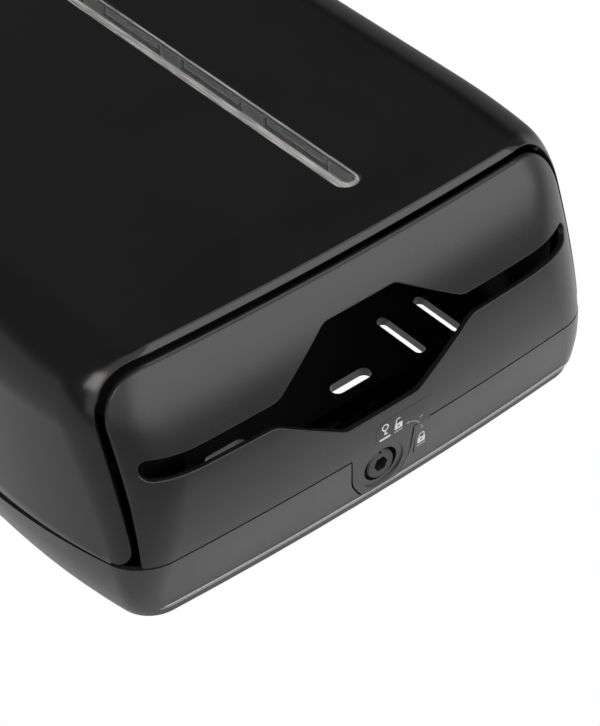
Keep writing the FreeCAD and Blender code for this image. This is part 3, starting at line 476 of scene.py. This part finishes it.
# The housing behind it is dull and deep black: painted shade, so that the gap round the button reads as a
# dark ring.
housing_painted_shade = moulded("housing_dull_black_painted_shade", "050505", "080808", 0.6, 0.8, 0.01, specular=0.15)
# Screen-printed film: smoother and darker than the grained plastic round it.
label_film = moulded("label_film", "1a1a1c", "1f1f21", 0.3, 0.8, 0.003)
# Light grey screen ink, flat and almost white on the film.
print_ink = moulded("light_grey_print", "dcdcda", "e6e6e4", 0.5, 0.3, 0.002)
# The same ink, thinner, on the arrow between the padlocks.
arrow_ink = moulded("thin_grey_print", "8c8c8a", "989896", 0.5, 0.3, 0.002)
# Zinc plated steel, pale and a little blue.
zinc_steel = metal("zinc_plated_steel", "9a9c9f", "b4b5b8", 0.32)
# Bright drawn spring wire, the glossiest metal.
spring_wire = metal("bright_spring_wire", "a8a8a8", "c4c4c4", 0.2)
# Die-cast core with a black electrocoat, as dark as the button round it.
core_zinc = moulded("black_coated_zinc", "28282a", "303032", 0.36, 0.7, 0.004)
# Bead on the body: its paler grey is a painted highlight, so that it reads as a bright line; a raised IOR
# makes it glossier.
rim_painted_highlight = moulded("foot_bead_painted_highlight", "787674", "82807e", 0.22, 0.8, 0.001, ior=2.2)


def clear_plastic():
    """Polished clear styrene-acrylonitrile. Beyond a strip with round ends it is frosted, with fine
    lines lengthwise: the distance from the strip's middle line fades one into the other."""
    material, tree, shader, place = blank("clear_san_plastic")
    parts = node(tree, "ShaderNodeSeparateXYZ", links={0: place})
    height = node(tree, "ShaderNodeMath", {"operation": "ABSOLUTE"}, {0: parts.outputs["Z"]})
    straight = (WINDOW_HIGH - WINDOW_HALF - HEIGHT / 2) / 1000
    beyond = node(tree, "ShaderNodeMath", {"operation": "SUBTRACT", 1: straight},
                  {0: height.outputs[0]})
    end = node(tree, "ShaderNodeMath", {"operation": "MAXIMUM", 1: 0.0}, {0: beyond.outputs[0]})
    away = node(tree, "ShaderNodeMath", {"operation": "SUBTRACT", 1: (WINDOW_X + CLEAR_SHIFT) / 1000},
                {0: parts.outputs["X"]})
    flat = node(tree, "ShaderNodeCombineXYZ", links={0: away.outputs[0], 1: end.outputs[0]})
    reach = node(tree, "ShaderNodeVectorMath", {"operation": "LENGTH"}, {0: flat.outputs[0]})
    margin = node(tree, "ShaderNodeMapRange", {1: CLEAR_HALF / 1000, 2: CLEAR_END / 1000},
                  {0: reach.outputs["Value"]})
    lines_mm = (0.35, 3.0, 14.0)
    stretched = node(tree, "ShaderNodeMapping", {"Scale": tuple(1000 / size for size in lines_mm)},
                     {"Vector": place})
    lines = node(tree, "ShaderNodeTexNoise", {"Scale": 1.0, "Detail": 3.0},
                 {"Vector": stretched.outputs[0]})
    grey = between(tree, lines.outputs["Fac"], 0.35, 0.65, "85827d", "fbf9f5")
    colour = node(tree, "ShaderNodeMix", {"data_type": "RGBA", 6: linear("f4f6f6")},
                  {0: margin.outputs[0], 7: grey})
    tree.links.new(colour.outputs[2], shader.inputs["Base Color"])
    polish = node(tree, "ShaderNodeMapRange", {3: 0.02, 4: 0.35}, {0: margin.outputs[0]})
    tree.links.new(polish.outputs[0], shader.inputs["Roughness"])
    clear = node(tree, "ShaderNodeMapRange", {3: 0.955, 4: 0.1}, {0: margin.outputs[0]})
    tree.links.new(clear.outputs[0], shader.inputs["Transmission Weight"])
    shader.inputs["IOR"].default_value = 1.5
    return material


def frosted_plastic(name, dark, light):
    """The channel's moulded clear plastic, whitened by its fine ribs between two given colours; in the
    borders' pure white it is a painted highlight where clear edges catch the light.
    """
    material, tree, shader, place = blank(name)
    ribs = node(tree, "ShaderNodeTexWave",
                {"Scale": 1000 / 6.0, "Distortion": 0.4, "bands_direction": "Z"}, {"Vector": place})
    tree.links.new(between(tree, ribs.outputs["Fac"], 0.2, 0.8, dark, light),
                   shader.inputs["Base Color"])
    shader.inputs["Roughness"].default_value = 0.3
    shader.inputs["Transmission Weight"].default_value = 0.1
    shader.inputs["IOR"].default_value = 1.5
    return material


# Walls of the channel: milky where the ribs scatter the light.
channel_san = frosted_plastic("ribbed_san_plastic", "c9cecf", "dfe3e4")
# Borders of the walls: the same plastic in pure white, a painted highlight for the light that clear edges
# catch.
border_painted_highlight = frosted_plastic("san_borders_painted_highlight", "fafafa", "ffffff")
window_san = clear_plastic()

FINISHES = {
    body_abs: ["back_body"],
    cover_abs: ["cover_shell"],
    panel_abs: ["end_panel"],
    label_film: ["locked_label", "legend_label"],
    window_san: ["window_lens"],
    channel_san: ["window_channel"],
    inner_pp: ["towel_tray", "stack_guide_right", "stack_guide_left", "hinge_arm_right",
               "hinge_arm_left"],
    zinc_steel: ["tray_screws", "guide_screws", "keeper_screws", "panel_screws", "arm_screws",
                 "housing_screws", "cam_screw", "latch_keeper", "hinge_pin_right", "hinge_pin_left",
                 "lock_cam"],
    # the housing's deep black is painted shade in the gap round the button
    housing_painted_shade: ["lock_housing", "housing_cap"],
    lock_acetal: ["lock_plunger"],
    spring_wire: ["lock_spring", "lock_clip"],
    core_zinc: ["lock_core"],
}
for finish, names in FINISHES.items():
    for name in names:
        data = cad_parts[name].data
        data.materials.clear()
        data.materials.append(finish)


# ---- the cover's shell
def quarter_places():
    """Places along a quarter outline: close in the corner, wide apart on the straight."""
    counts = (21, 16, 15, 11)
    parts = [np.linspace(i, i + 1, count, endpoint=False) for i, count in enumerate(counts)]
    return np.concatenate(parts)


def half_places():
    """The same for the right half, from the lower crown to the upper one."""
    first = quarter_places()
    return np.concatenate([first, [4.0], 8 - first[::-1]])


def all_places():
    """The same, once round the form."""
    half = half_places()
    return np.concatenate([half, 16 - half[-2:0:-1]])


def shell_edge():
    """The shell's free edge as (place, run): the lip of its lower opening, its rounded lower corner,
    and the parting line, on the right half; the left half mirrors it."""
    top = DEPTH - LIP_WALL
    foot = PARTING + GAP / 2 + SHELL_CORNER
    lip = np.linspace(0, LIP_HALF - LIP_CORNER, 34)[:-1]
    turn = np.linspace(0, math.pi / 2, 22)
    edge = np.linspace(top - LIP_CORNER, foot, 22)[1:]
    x = np.concatenate([lip, LIP_HALF - LIP_CORNER + LIP_CORNER * np.sin(turn),
                        np.full(len(edge), LIP_HALF)])
    out = np.concatenate([np.full(len(lip), top), top - LIP_CORNER + LIP_CORNER * np.cos(turn), edge])
    places, runs = [place_at(x, out)], [run_of(out)]
    for angle in np.linspace(0, math.pi / 2, 9)[1:]:
        back = foot - SHELL_CORNER * math.sin(angle)
        fine = np.linspace(1, 3, 400)
        path = around(fine, run_of(back))[0]
        length = np.concatenate([[0], np.cumsum(np.linalg.norm(np.diff(path, axis=0), axis=1))])
        start = np.interp(LIP_HALF, path[:, 0], length)
        places.append(np.interp(start + SHELL_CORNER * (1 - math.cos(angle)), length, fine)[None])
        runs.append(run_of(back)[None])
    onward = half_places()
    onward = onward[onward > places[-1][0] + 0.04]
    back = np.full(len(onward), PARTING)
    for _ in range(12):
        back = parting(around(onward, run_of(back))[0][:, 2]) + GAP / 2
    places.append(onward)
    runs.append(run_of(back))
    right = np.stack([np.concatenate(places), np.concatenate(runs)], -1)
    left = right[-2:0:-1] * [-1, 1] + [16, 0]
    return np.concatenate([right, left])


def on_form(at):
    """A point of the outer form at (place, run)."""
    return around(at[:, 0], at[:, 1])[0]


def spread(at):
    """(place, run) laid flat: the front's outline, moved outwards by the run."""
    edge, away = around(at[:, 0], np.zeros(len(at)))
    return edge[:, [0, 2]] + away * at[:, 1:2]


def slot_outline():
    """The window's outline as (x, up)."""
    left, right, bend = WINDOW_X - WINDOW_HALF, WINDOW_X + WINDOW_HALF, WINDOW_HALF - 0.01
    return rounded([(left, WINDOW_LOW, bend), (right, WINDOW_LOW, bend),
                    (right, WINDOW_HIGH, bend), (left, WINDOW_HIGH, bend)], 4.0)


def crossed(a, b):
    """Every value of a with every value of b."""
    one, two = np.meshgrid(a, b)
    return np.stack([one.ravel(), two.ravel()], -1)


def grid(a, b, step):
    """Points of a plain grid between two values each way."""
    return crossed(np.arange(*a, step), np.arange(*b, step))


def at_depth(ring, out):
    """(x, up) points at a distance from the wall."""
    return np.stack([ring[:, 0], np.full(len(ring), out), ring[:, 1]], -1)


def cover_shell():
    """Front, sides and upper end: one sheet on the ends and sides, one on the flat front."""
    places = all_places()
    lip = run_of(DEPTH - LIP_ROUND + LIP_ROUND * np.cos(np.radians(np.linspace(0, 52, 9)[1:])))
    runs = np.concatenate([lip, np.linspace(12, TURN, 15), np.arange(TURN + 5, 150, 6.0)])
    front_edge = np.stack([places, np.full(len(places), FRONT_START)], -1)
    walls = skin(on_form, spread, [(shell_edge(), 0.5), (front_edge, 0)], crossed(places, runs),
                 SHELL_WALL)
    outline = on_form(front_edge)[:, [0, 2]]
    front = skin(lambda at: at_depth(at, DEPTH), lambda at: at, [(outline, 0), (slot_outline(), 0.6)],
                 grid((-110, 110), (20, 380), 9.0), SHELL_WALL, side=-1)
    build("cover_shell_skin", [walls, front], cover_abs, "cover", "cover_shell")


# ---- the end panel
def dished(at):
    """The lower end's surface with the shallow round dish about the lock, whose side is a smooth step:
    three times the square less twice the cube of the way down."""
    x, out = at[:, 0], at[:, 1]
    share = np.clip((DISH_RADIUS - np.hypot(x, out - LOCK)) / DISH_SLOPE, 0, 1)
    return np.stack([x, out, lower_end(x, out) + DISH_DEEP * share ** 2 * (3 - 2 * share)], -1)


def tongue():
    """Corners of the lock's tongue from its left root round to its right, as (x, out, radius)."""
    radius = TONGUE_RADIUS
    return mirrored([(-radius - 1.35, PARTING + GAP / 2, 0.9),
                     (-radius, LOCK - radius * 0.2, radius * 0.9),
                     (-radius * 0.55, LOCK - radius, radius * 0.8)])


def towel_opening():
    """Corners of the towel opening with its two arms."""
    upper, lower = ARM_OUT + ARM_HALF, ARM_OUT - ARM_HALF
    return mirrored([
        (20.5, 110.8, 8.0), (53.5, upper + 0.6, 12.0), (97.0, upper, 60.0), (123.5, upper + 2.4, 4.4),
        (123.1, lower + 2.4, 5.0), (97.0, lower, 60.0), (57.0, lower - 0.2, 12.0), (20.5, 55.0, 9.0),
    ])


def circle(centre, radius, count):
    """Points of a circle."""
    angle = np.linspace(0, 2 * math.pi, count, endpoint=False)
    return np.stack([centre[0] + radius * np.cos(angle), centre[1] + radius * np.sin(angle)], -1)


def end_panel():
    """Lower end with the towel opening and the lock's tongue. Rings of points follow the dish's side,
    and the outline's edge is rounder away from the wall."""
    side = LIP_HALF - GROOVE
    base = PARTING + GAP / 2
    top = DEPTH - LIP_WALL - GROOVE
    corner = LIP_CORNER - GROOVE
    outline = rounded(mirrored([(side, base, 1.2), (side, top, corner)]) + tongue())
    radii = (12.1, 12.5, 12.9, 13.3, 13.8)
    rings = [circle((0, LOCK), radius, 60) for radius in radii]
    net = grid((-130, 130), (0, 130), 2.6)
    net = net[np.abs(np.hypot(net[:, 0], net[:, 1] - LOCK) - radii[2]) > 2.2]
    roll = 0.5 + 2.2 * np.clip((outline[:, 1] - base - 4) / 30, 0, 1)
    loops = [(outline, roll), (rounded(towel_opening(), 1.5), 0.6),
             (circle((0, LOCK), BUTTON_HOLE, 72), 0.3)]
    sheet = skin(dished, lambda at: at, loops, np.concatenate([net] + rings), PANEL_WALL, side=-1)
    build("end_panel_skin", [sheet], panel_abs, "cover", "end_panel")


# ---- the window
def stadium(half):
    """Points once round a strip with round ends, on the window's middle line, and their outward
    directions as (x, up)."""
    turn = np.linspace(-math.pi, 0, END_POINTS)
    lower = np.stack([np.cos(turn), np.sin(turn)], -1)
    away = np.concatenate([lower, -lower])
    middle = np.repeat([WINDOW_LOW + WINDOW_HALF, WINDOW_HIGH - WINDOW_HALF], END_POINTS)
    return np.stack([WINDOW_X + away[:, 0] * half, middle + away[:, 1] * half], -1), away


def window_lens():
    """Clear strip: rounded face, straight sides and the flange behind the shell, one closed body."""
    face = DEPTH - LENS_SUNK
    back = DEPTH - SHELL_WALL
    half = WINDOW_HALF - LENS_GAP
    wide = WINDOW_HALF + LENS_FLANGE
    lean = [(math.cos(a), math.sin(a)) for a in np.radians([90, 67.5, 45, 22.5, 0])]
    profile = [(half - LENS_EDGE + LENS_EDGE * cosine, face - LENS_EDGE + LENS_EDGE * sine)
               for cosine, sine in lean]
    profile += [(half, back), (wide, back), (wide, back - LENS_THICK)]
    sheets = []
    for i, ((half0, out0), (half1, out1)) in enumerate(zip(profile, profile[1:])):
        ring0, away = stadium(half0)
        ring1, away = stadium(half1)
        slant = unit(np.array([out0 - out1, half1 - half0]))
        n0, n1 = (lean[i], lean[i + 1]) if i + 1 < len(lean) else (slant, slant)
        a, b = at_depth(ring0, out0), at_depth(ring1, out1)
        first, second = at_depth(away * n0[0], n0[1]), at_depth(away * n1[0], n1[1])
        turn = np.roll(np.arange(len(a)), -1)
        sheets.append(quads(a, a[turn], b[turn], b, (first, first[turn], second[turn], second)))
    lowest, along = END_POINTS // 2, np.arange(END_POINTS + 1)
    for (reach, out), facing in ((profile[0], 1.0), (profile[-1], -1.0)):
        flat = at_depth(stadium(reach)[0], out)
        left, right = flat[(lowest - along) % len(flat)], flat[lowest + along]
        up = np.tile([0.0, facing, 0.0], (END_POINTS, 1))
        sheets.append(quads(left[:-1], left[1:], right[1:], right[:-1], (up, up, up, up)))
    build("window_lens_glass", sheets, window_san, "cover", "window_lens")


def block(x, out, up):
    """A box between two values on each axis."""
    corners = np.array([[a, b, c] for a in x for b in out for c in up], float)
    sheets = []
    for four, facing in (((0, 2, 6, 4), (0, 0, -1)), ((1, 5, 7, 3), (0, 0, 1)), ((0, 1, 3, 2), (-1, 0, 0)),
                         ((4, 6, 7, 5), (1, 0, 0)), ((0, 4, 5, 1), (0, -1, 0)), ((2, 3, 7, 6), (0, 1, 0))):
        sheets.append(quads(*corners[list(four), None], (np.array([facing], float),) * 4))
    return sheets


def channel_borders():
    """Borders round each stretch of the channel's two walls: short and tall stretches by turns with
    long and low ones."""
    short, tall = 15.5, 7.5
    long, low = 42.0, 4.5
    first, gap, repeat = 10.0, 2.6, 64.0
    border, thick, inset = 0.5, 0.35, 1.2
    top = DEPTH - SHELL_WALL - LENS_THICK
    upper = WINDOW_HIGH - WINDOW_HALF
    stretches = []
    start = WINDOW_LOW + first
    while start + short < upper:
        middle = start + short + gap
        stretches += [(start, start + short, tall), (middle, min(middle + long, upper), low)]
        start += repeat
    sheets = []
    for face, sign in ((WINDOW_X + WINDOW_HALF - inset, -1), (WINDOW_X - WINDOW_HALF + inset, 1)):
        x = sorted((face, face + sign * thick))
        for start, end, reach in stretches:
            sheets += block(x, (top - reach, top - reach + border), (start, end))
            sheets += block(x, (top - border, top), (start, end))
            sheets += block(x, (top - reach + border, top - border), (start, start + border))
            sheets += block(x, (top - reach + border, top - border), (end - border, end))
    # The borders' pure white is a painted highlight.
    build("window_channel_borders", sheets, border_painted_highlight, "cover")


# ---- the legend beside the lock
def sunk(at, lift):
    """Points on the lower end, lifted off it."""
    return np.stack([at[:, 0], at[:, 1], lower_end(at[:, 0], at[:, 1]) - lift], -1)


def label(name, corners, thick, film, body, node_name):
    """A thin film with rounded corners on the lower end."""
    sheet = skin(lambda at: sunk(at, thick), lambda at: at, [(rounded(corners, 1.0), thick / 2)],
                 grid((-10, 40), (5, 60), 2.0), thick - SINK, side=-1)
    build(name, [sheet], film, body, node_name)


def arc(centre, radius, start, end, count=24):
    """Points along an arc between two angles in degrees."""
    angle = np.radians(np.linspace(start, end, count))
    return np.stack([centre[0] + radius * np.cos(angle), centre[1] + radius * np.sin(angle)], -1)


def stroke(path, width):
    """A flat printed line of even width along a path, at the height of the thicker film."""
    path = np.asarray(path, float)
    if len(path) == 2:
        path = path[0] + (path[1] - path[0]) * np.linspace(0, 1, 6)[:, None]
    along = unit(np.gradient(path, axis=0))
    across = np.stack([-along[:, 1], along[:, 0]], -1) * width / 2
    left, right = path + across, path - across
    top_l, top_r = sunk(left, LABEL + INK), sunk(right, LABEL + INK)
    low_l, low_r = sunk(left, LABEL - SINK), sunk(right, LABEL - SINK)
    down = np.tile([0.0, 0.0, -1.0], (len(path), 1))
    side = np.stack([across[:, 0], across[:, 1], np.zeros(len(path))], -1)
    sheets = []
    for a, b, facing in ((top_l, top_r, down), (low_r, low_l, -down),
                         (low_l, top_l, side), (top_r, low_r, -side)):
        sheets.append(quads(a[:-1], a[1:], b[1:], b[:-1], (facing[:-1],) * 4))
    for end, sign in ((0, -1.0), (-1, 1.0)):
        facing = np.array([[along[end, 0] * sign, along[end, 1] * sign, 0.0]])
        four = [points[end][None] for points in (top_l, top_r, low_r, low_l)]
        sheets.append(quads(*four, (facing,) * 4))
    return sheets


def padlock(x, out, closed):
    """A padlock: a body of bars round a keyhole, a shackle that ends early if it is open, and a line
    under them."""
    half, bar, hole, shackle, foot = 2.3, 1.2, 0.5, 1.5, 1.6
    marks = stroke([(x - half, out + bar), (x + half, out + bar)], bar)
    marks += stroke([(x - half, out - bar), (x + half, out - bar)], bar)
    marks += stroke([(x - half, out), (x - hole, out)], 1.3)
    marks += stroke([(x + hole, out), (x + half, out)], 1.3)
    bow = arc((x, out + 2 * foot), shackle, 180, 0 if closed else 50)
    path = [(x - shackle, out + foot)] + [tuple(at) for at in bow]
    if closed:
        path.append((x + shackle, out + foot))
    return marks + stroke(path, 0.6) + stroke([(x - 2.6, out - 3.2), (x + 2.6, out - 3.2)], 0.4)


def key_picture(x, out):
    """A key's ring, shank and bit, and a line under it."""
    marks = stroke(arc((x, out), 1.7, -90, 270, 36), 0.7)
    marks += stroke([(x, out - 1.6), (x, out - 4.7)], 0.9)
    marks += stroke([(x, out - 4.3), (x + 1.6, out - 4.3)], 0.7)
    return marks + stroke([(x - 3.2, out - 6.8), (x + 3.2, out - 6.8)], 1.3)


def arrow_head(tip, angle):
    """A small filled arrow head: four lines across its axis, shorter towards the tip."""
    tip = np.array(tip)
    along = np.array([math.cos(math.radians(angle)), math.sin(math.radians(angle))])
    across = np.array([-along[1], along[0]])
    marks = []
    for step in range(4):
        back = tip - along * (0.25 + 0.45 * step)
        reach = across * (0.16 + 0.27 * step)
        marks += stroke([back - reach, back + reach], 0.5)
    return marks


def legend():
    """Film on the end panel and on the body with plain pictures: a key, an open and a closed padlock
    and the way the key turns between them, as an arrow in two parts."""
    label("legend_film", [(-4.7, 35.9, 0.8), (17.2, 35.9, 0.3), (18.6, 33.5, 0.3), (27.9, 33.5, 0.3),
                          (27.9, 49.0, 2.0), (-4.7, 49.0, 6.0)],
          LABEL, label_film, "cover", "legend_label")
    label("locked_film", [(19.9, 13.8, 1.5), (27.9, 13.8, 1.5), (27.9, 33.4, 0.3), (19.9, 33.4, 0.3)],
          THIN_LABEL, body_abs, "wall_body", "locked_label")
    build("legend_print", key_picture(0.6, 45.0) + padlock(8.6, 41.3, False), print_ink, "cover")
    centre, radius, line = (12.6, 28.6), 10.9, 0.6
    tick = stroke([(21.4, 38.2), (23.4, 38.9)], 0.9)
    turn = stroke(arc(centre, radius, 80, 34), line) + arrow_head((13.0, 39.55), 176)
    build("turn_print", turn + tick, arrow_ink, "cover")
    turn = stroke(arc(centre, radius, 23, 12), line) + arrow_head((23.6, 29.4), -84)
    build("locked_turn_print", turn, arrow_ink, "wall_body")
    build("locked_print", padlock(23.8, 21.9, True), print_ink, "wall_body")


# ---- small pieces
def bead(path, outward, section):
    """A bead along an open path: section gives (outward, towards the wall) offsets round it."""
    sheets = []
    wall = np.array([0.0, -1.0, 0.0])
    middle = section.mean(0)
    for (a0, b0), (a1, b1) in zip(section, np.roll(section, -1, axis=0)):
        first = path + outward * a0 + wall * b0
        second = path + outward * a1 + wall * b1
        n0 = unit(outward * (a0 - middle[0]) + wall * (b0 - middle[1]))
        n1 = unit(outward * (a1 - middle[0]) + wall * (b1 - middle[1]))
        sheets.append(quads(first[:-1], first[1:], second[1:], second[:-1],
                            (n0[:-1], n0[1:], n1[1:], n1[:-1])))
    return sheets


def foot_rim():
    """Rounded bead of the body above its stepped foot, up to where the back plate ends."""
    places = all_places()
    path, away = around(places, run_of(FLANGE + RIM_ABOVE))
    outward = np.stack([away[:, 0], np.zeros(len(places)), away[:, 1]], -1)
    angle = np.linspace(0, 2 * math.pi, 16, endpoint=False)
    section = np.stack([RIM_RADIUS * np.cos(angle) - RIM_SUNK, RIM_RADIUS * np.sin(angle)], -1)
    keep = path[:, 2] < PLATE_TOP - 2 * RIM_RADIUS
    order = (np.arange(len(places)) + int(np.argmax(~keep))) % len(places)
    order = order[keep[order]]
    # The bead's paler grey is a painted highlight along the foot.
    build("body_foot_rim", bead(path[order], outward[order], section), rim_painted_highlight, "wall_body")


def ring_index():
    """Small index on the panel that bridges the gap round the button, away from the wall."""
    half, start, end = 1.25, 7.9, 9.6
    face, thick = 3.75, 1.6
    sheets = block((-half, half), (LOCK + start, LOCK + end), (face, face + thick))
    build("ring_index", sheets, panel_abs, "cover")


cover_shell()
end_panel()
window_lens()
channel_borders()
legend()
foot_rim()
ring_index()


# ---- stage, light and camera
# Brightness of the dim room, of the backdrop's left end and of its corner up on the right.
ROOM_LIGHT, LEFT_LIGHT, CORNER_LIGHT = 0.16, 0.6, 0.2
BACKDROP_LEAN, BORDER_SOFT = 0.5, 0.1  # how far its border leans back below, and how soft it is


def pale_floor():
    """A plain pale floor below the dispenser, from the wall it hangs on towards the room."""
    mesh = bpy.data.meshes.new("floor")
    half, near, down = 6.0, -0.15, -1.35
    corners = [(-half, -half, down), (half, -half, down), (half, near, down), (-half, near, down)]
    mesh.from_pydata(corners, [], [(0, 1, 2, 3)])
    floor = bpy.data.objects.new("floor", mesh)
    bpy.context.collection.objects.link(floor)
    material = bpy.data.materials.new("pale_studio_floor")
    material.use_nodes = True
    tree = material.node_tree
    shader = tree.nodes["Principled BSDF"]
    shader.inputs["Base Color"].default_value = linear("dcdcdc")
    shader.inputs["Roughness"].default_value = 0.9
    white = node(tree, "ShaderNodeEmission", {"Color": (1, 1, 1, 1), "Strength": 1.0})
    mixed = node(tree, "ShaderNodeMixShader",
                 links={0: seen_directly(tree), 1: shader.outputs[0], 2: white.outputs[0]})
    tree.links.new(mixed.outputs[0], tree.nodes["Material Output"].inputs["Surface"])
    mesh.materials.append(material)


def seen_directly(tree):
    """1 for rays from the camera, from glossy surfaces and through clear ones, else 0."""
    rays = node(tree, "ShaderNodeLightPath")
    both = node(tree, "ShaderNodeMath", {"operation": "ADD"},
                {0: rays.outputs["Is Camera Ray"], 1: rays.outputs["Is Glossy Ray"]})
    return node(tree, "ShaderNodeMath", {"operation": "ADD", "use_clamp": True},
                {0: both.outputs[0], 1: rays.outputs["Is Transmission Ray"]}).outputs[0]


def studio_world():
    """White backdrop in the half of the surroundings behind the dispenser, a dim room in front of it.
    Their border leans: it lies further back below the dispenser than above it. The backdrop is dimmer
    on the left and ends short of the corner up on the right. Rays from the camera see it white."""
    world = bpy.data.worlds.new("studio")
    world.use_nodes = True
    bpy.context.scene.world = world
    tree = world.node_tree
    background = tree.nodes["Background"]
    direction = node(tree, "ShaderNodeTexCoord").outputs["Generated"]
    depth = node(tree, "ShaderNodeVectorMath",
                 {"operation": "DOT_PRODUCT", 1: (0.0, 1.0, BACKDROP_LEAN)}, {0: direction})
    parts = node(tree, "ShaderNodeSeparateXYZ", links={0: direction})
    left = node(tree, "ShaderNodeMapRange", {1: -0.6, 2: 0.3, 3: LEFT_LIGHT, 4: 1.0},
                {0: parts.outputs["X"]})
    backdrop = node(tree, "ShaderNodeMapRange",
                    {1: -BORDER_SOFT, 2: BORDER_SOFT, 3: ROOM_LIGHT,
                     "interpolation_type": "SMOOTHSTEP"},
                    {0: depth.outputs["Value"], 4: left.outputs[0]})
    corner = node(tree, "ShaderNodeVectorMath", {"operation": "DOT_PRODUCT", 1: (1.0, 0.0, 1.0)},
                  {0: direction})
    shade = node(tree, "ShaderNodeMapRange", {1: 1.12, 2: 1.3, 3: 1.0, 4: CORNER_LIGHT},
                 {0: corner.outputs["Value"]})
    shaded = node(tree, "ShaderNodeMath", {"operation": "MULTIPLY"},
                  {0: backdrop.outputs[0], 1: shade.outputs[0]})
    rays = node(tree, "ShaderNodeLightPath")
    strength = node(tree, "ShaderNodeMix", {"data_type": "FLOAT", 3: 1.0},
                    {0: rays.outputs["Is Camera Ray"], 2: shaded.outputs[0]})
    background.inputs["Color"].default_value = (1, 1, 1, 1)
    tree.links.new(strength.outputs[0], background.inputs["Strength"])


def softbox(name, place, target, size, power, colour=(1.0, 1.0, 1.0)):
    """An area lamp of (width, length) at a place in metres, turned to a target."""
    lamp = bpy.data.lights.new(name, "AREA")
    lamp.shape = "RECTANGLE"
    lamp.size, lamp.size_y = size
    lamp.energy = power
    lamp.color = colour
    light = bpy.data.objects.new(name, lamp)
    light.location = place
    light.rotation_mode = "QUATERNION"
    light.rotation_quaternion = (Vector(target) - Vector(place)).to_track_quat("-Z", "Y")
    bpy.context.collection.objects.link(light)


def view_camera():
    """A long lens, below and to the left of the dispenser, looking up at its lower end. Its place is in
    metres, its three directions are the picture's right and up and the way back to the camera."""
    data = bpy.data.cameras.new("camera")
    data.sensor_fit = "HORIZONTAL"
    data.sensor_width = 36.0
    data.lens = 161.2
    data.clip_end = 50.0
    camera = bpy.data.objects.new("camera", data)
    right = Vector((0.77471, 0.05165, -0.6302))
    up = Vector((0.44281, -0.75578, 0.4824))
    back = Vector((-0.45138, -0.65278, -0.60839))
    place = (-0.5628, -0.8594, -0.8982)
    turn = Matrix((right, up, back)).transposed().to_4x4()
    camera.matrix_world = Matrix.Translation(place) @ turn
    bpy.context.collection.objects.link(camera)
    bpy.context.scene.camera = camera


pale_floor()
studio_world()
# A long lamp below that greys the lower end, a small one on the left and a faint one in front.
softbox("below", (0.58, -0.53, -1.2), (0.58, -0.53, 0.0), (2.3, 0.85), 10.4)
softbox("left", (-1.23, -0.88, -0.42), (0, -0.1, -0.18), (0.45, 0.45), 2.9, (1.0, 0.95, 0.88))
softbox("front", (0.7, -1.7, -0.1), (0, -0.1, 0.0), (0.9, 0.9), 5.0)
view_camera()
bpy.context.scene.view_settings.view_transform = "Standard"
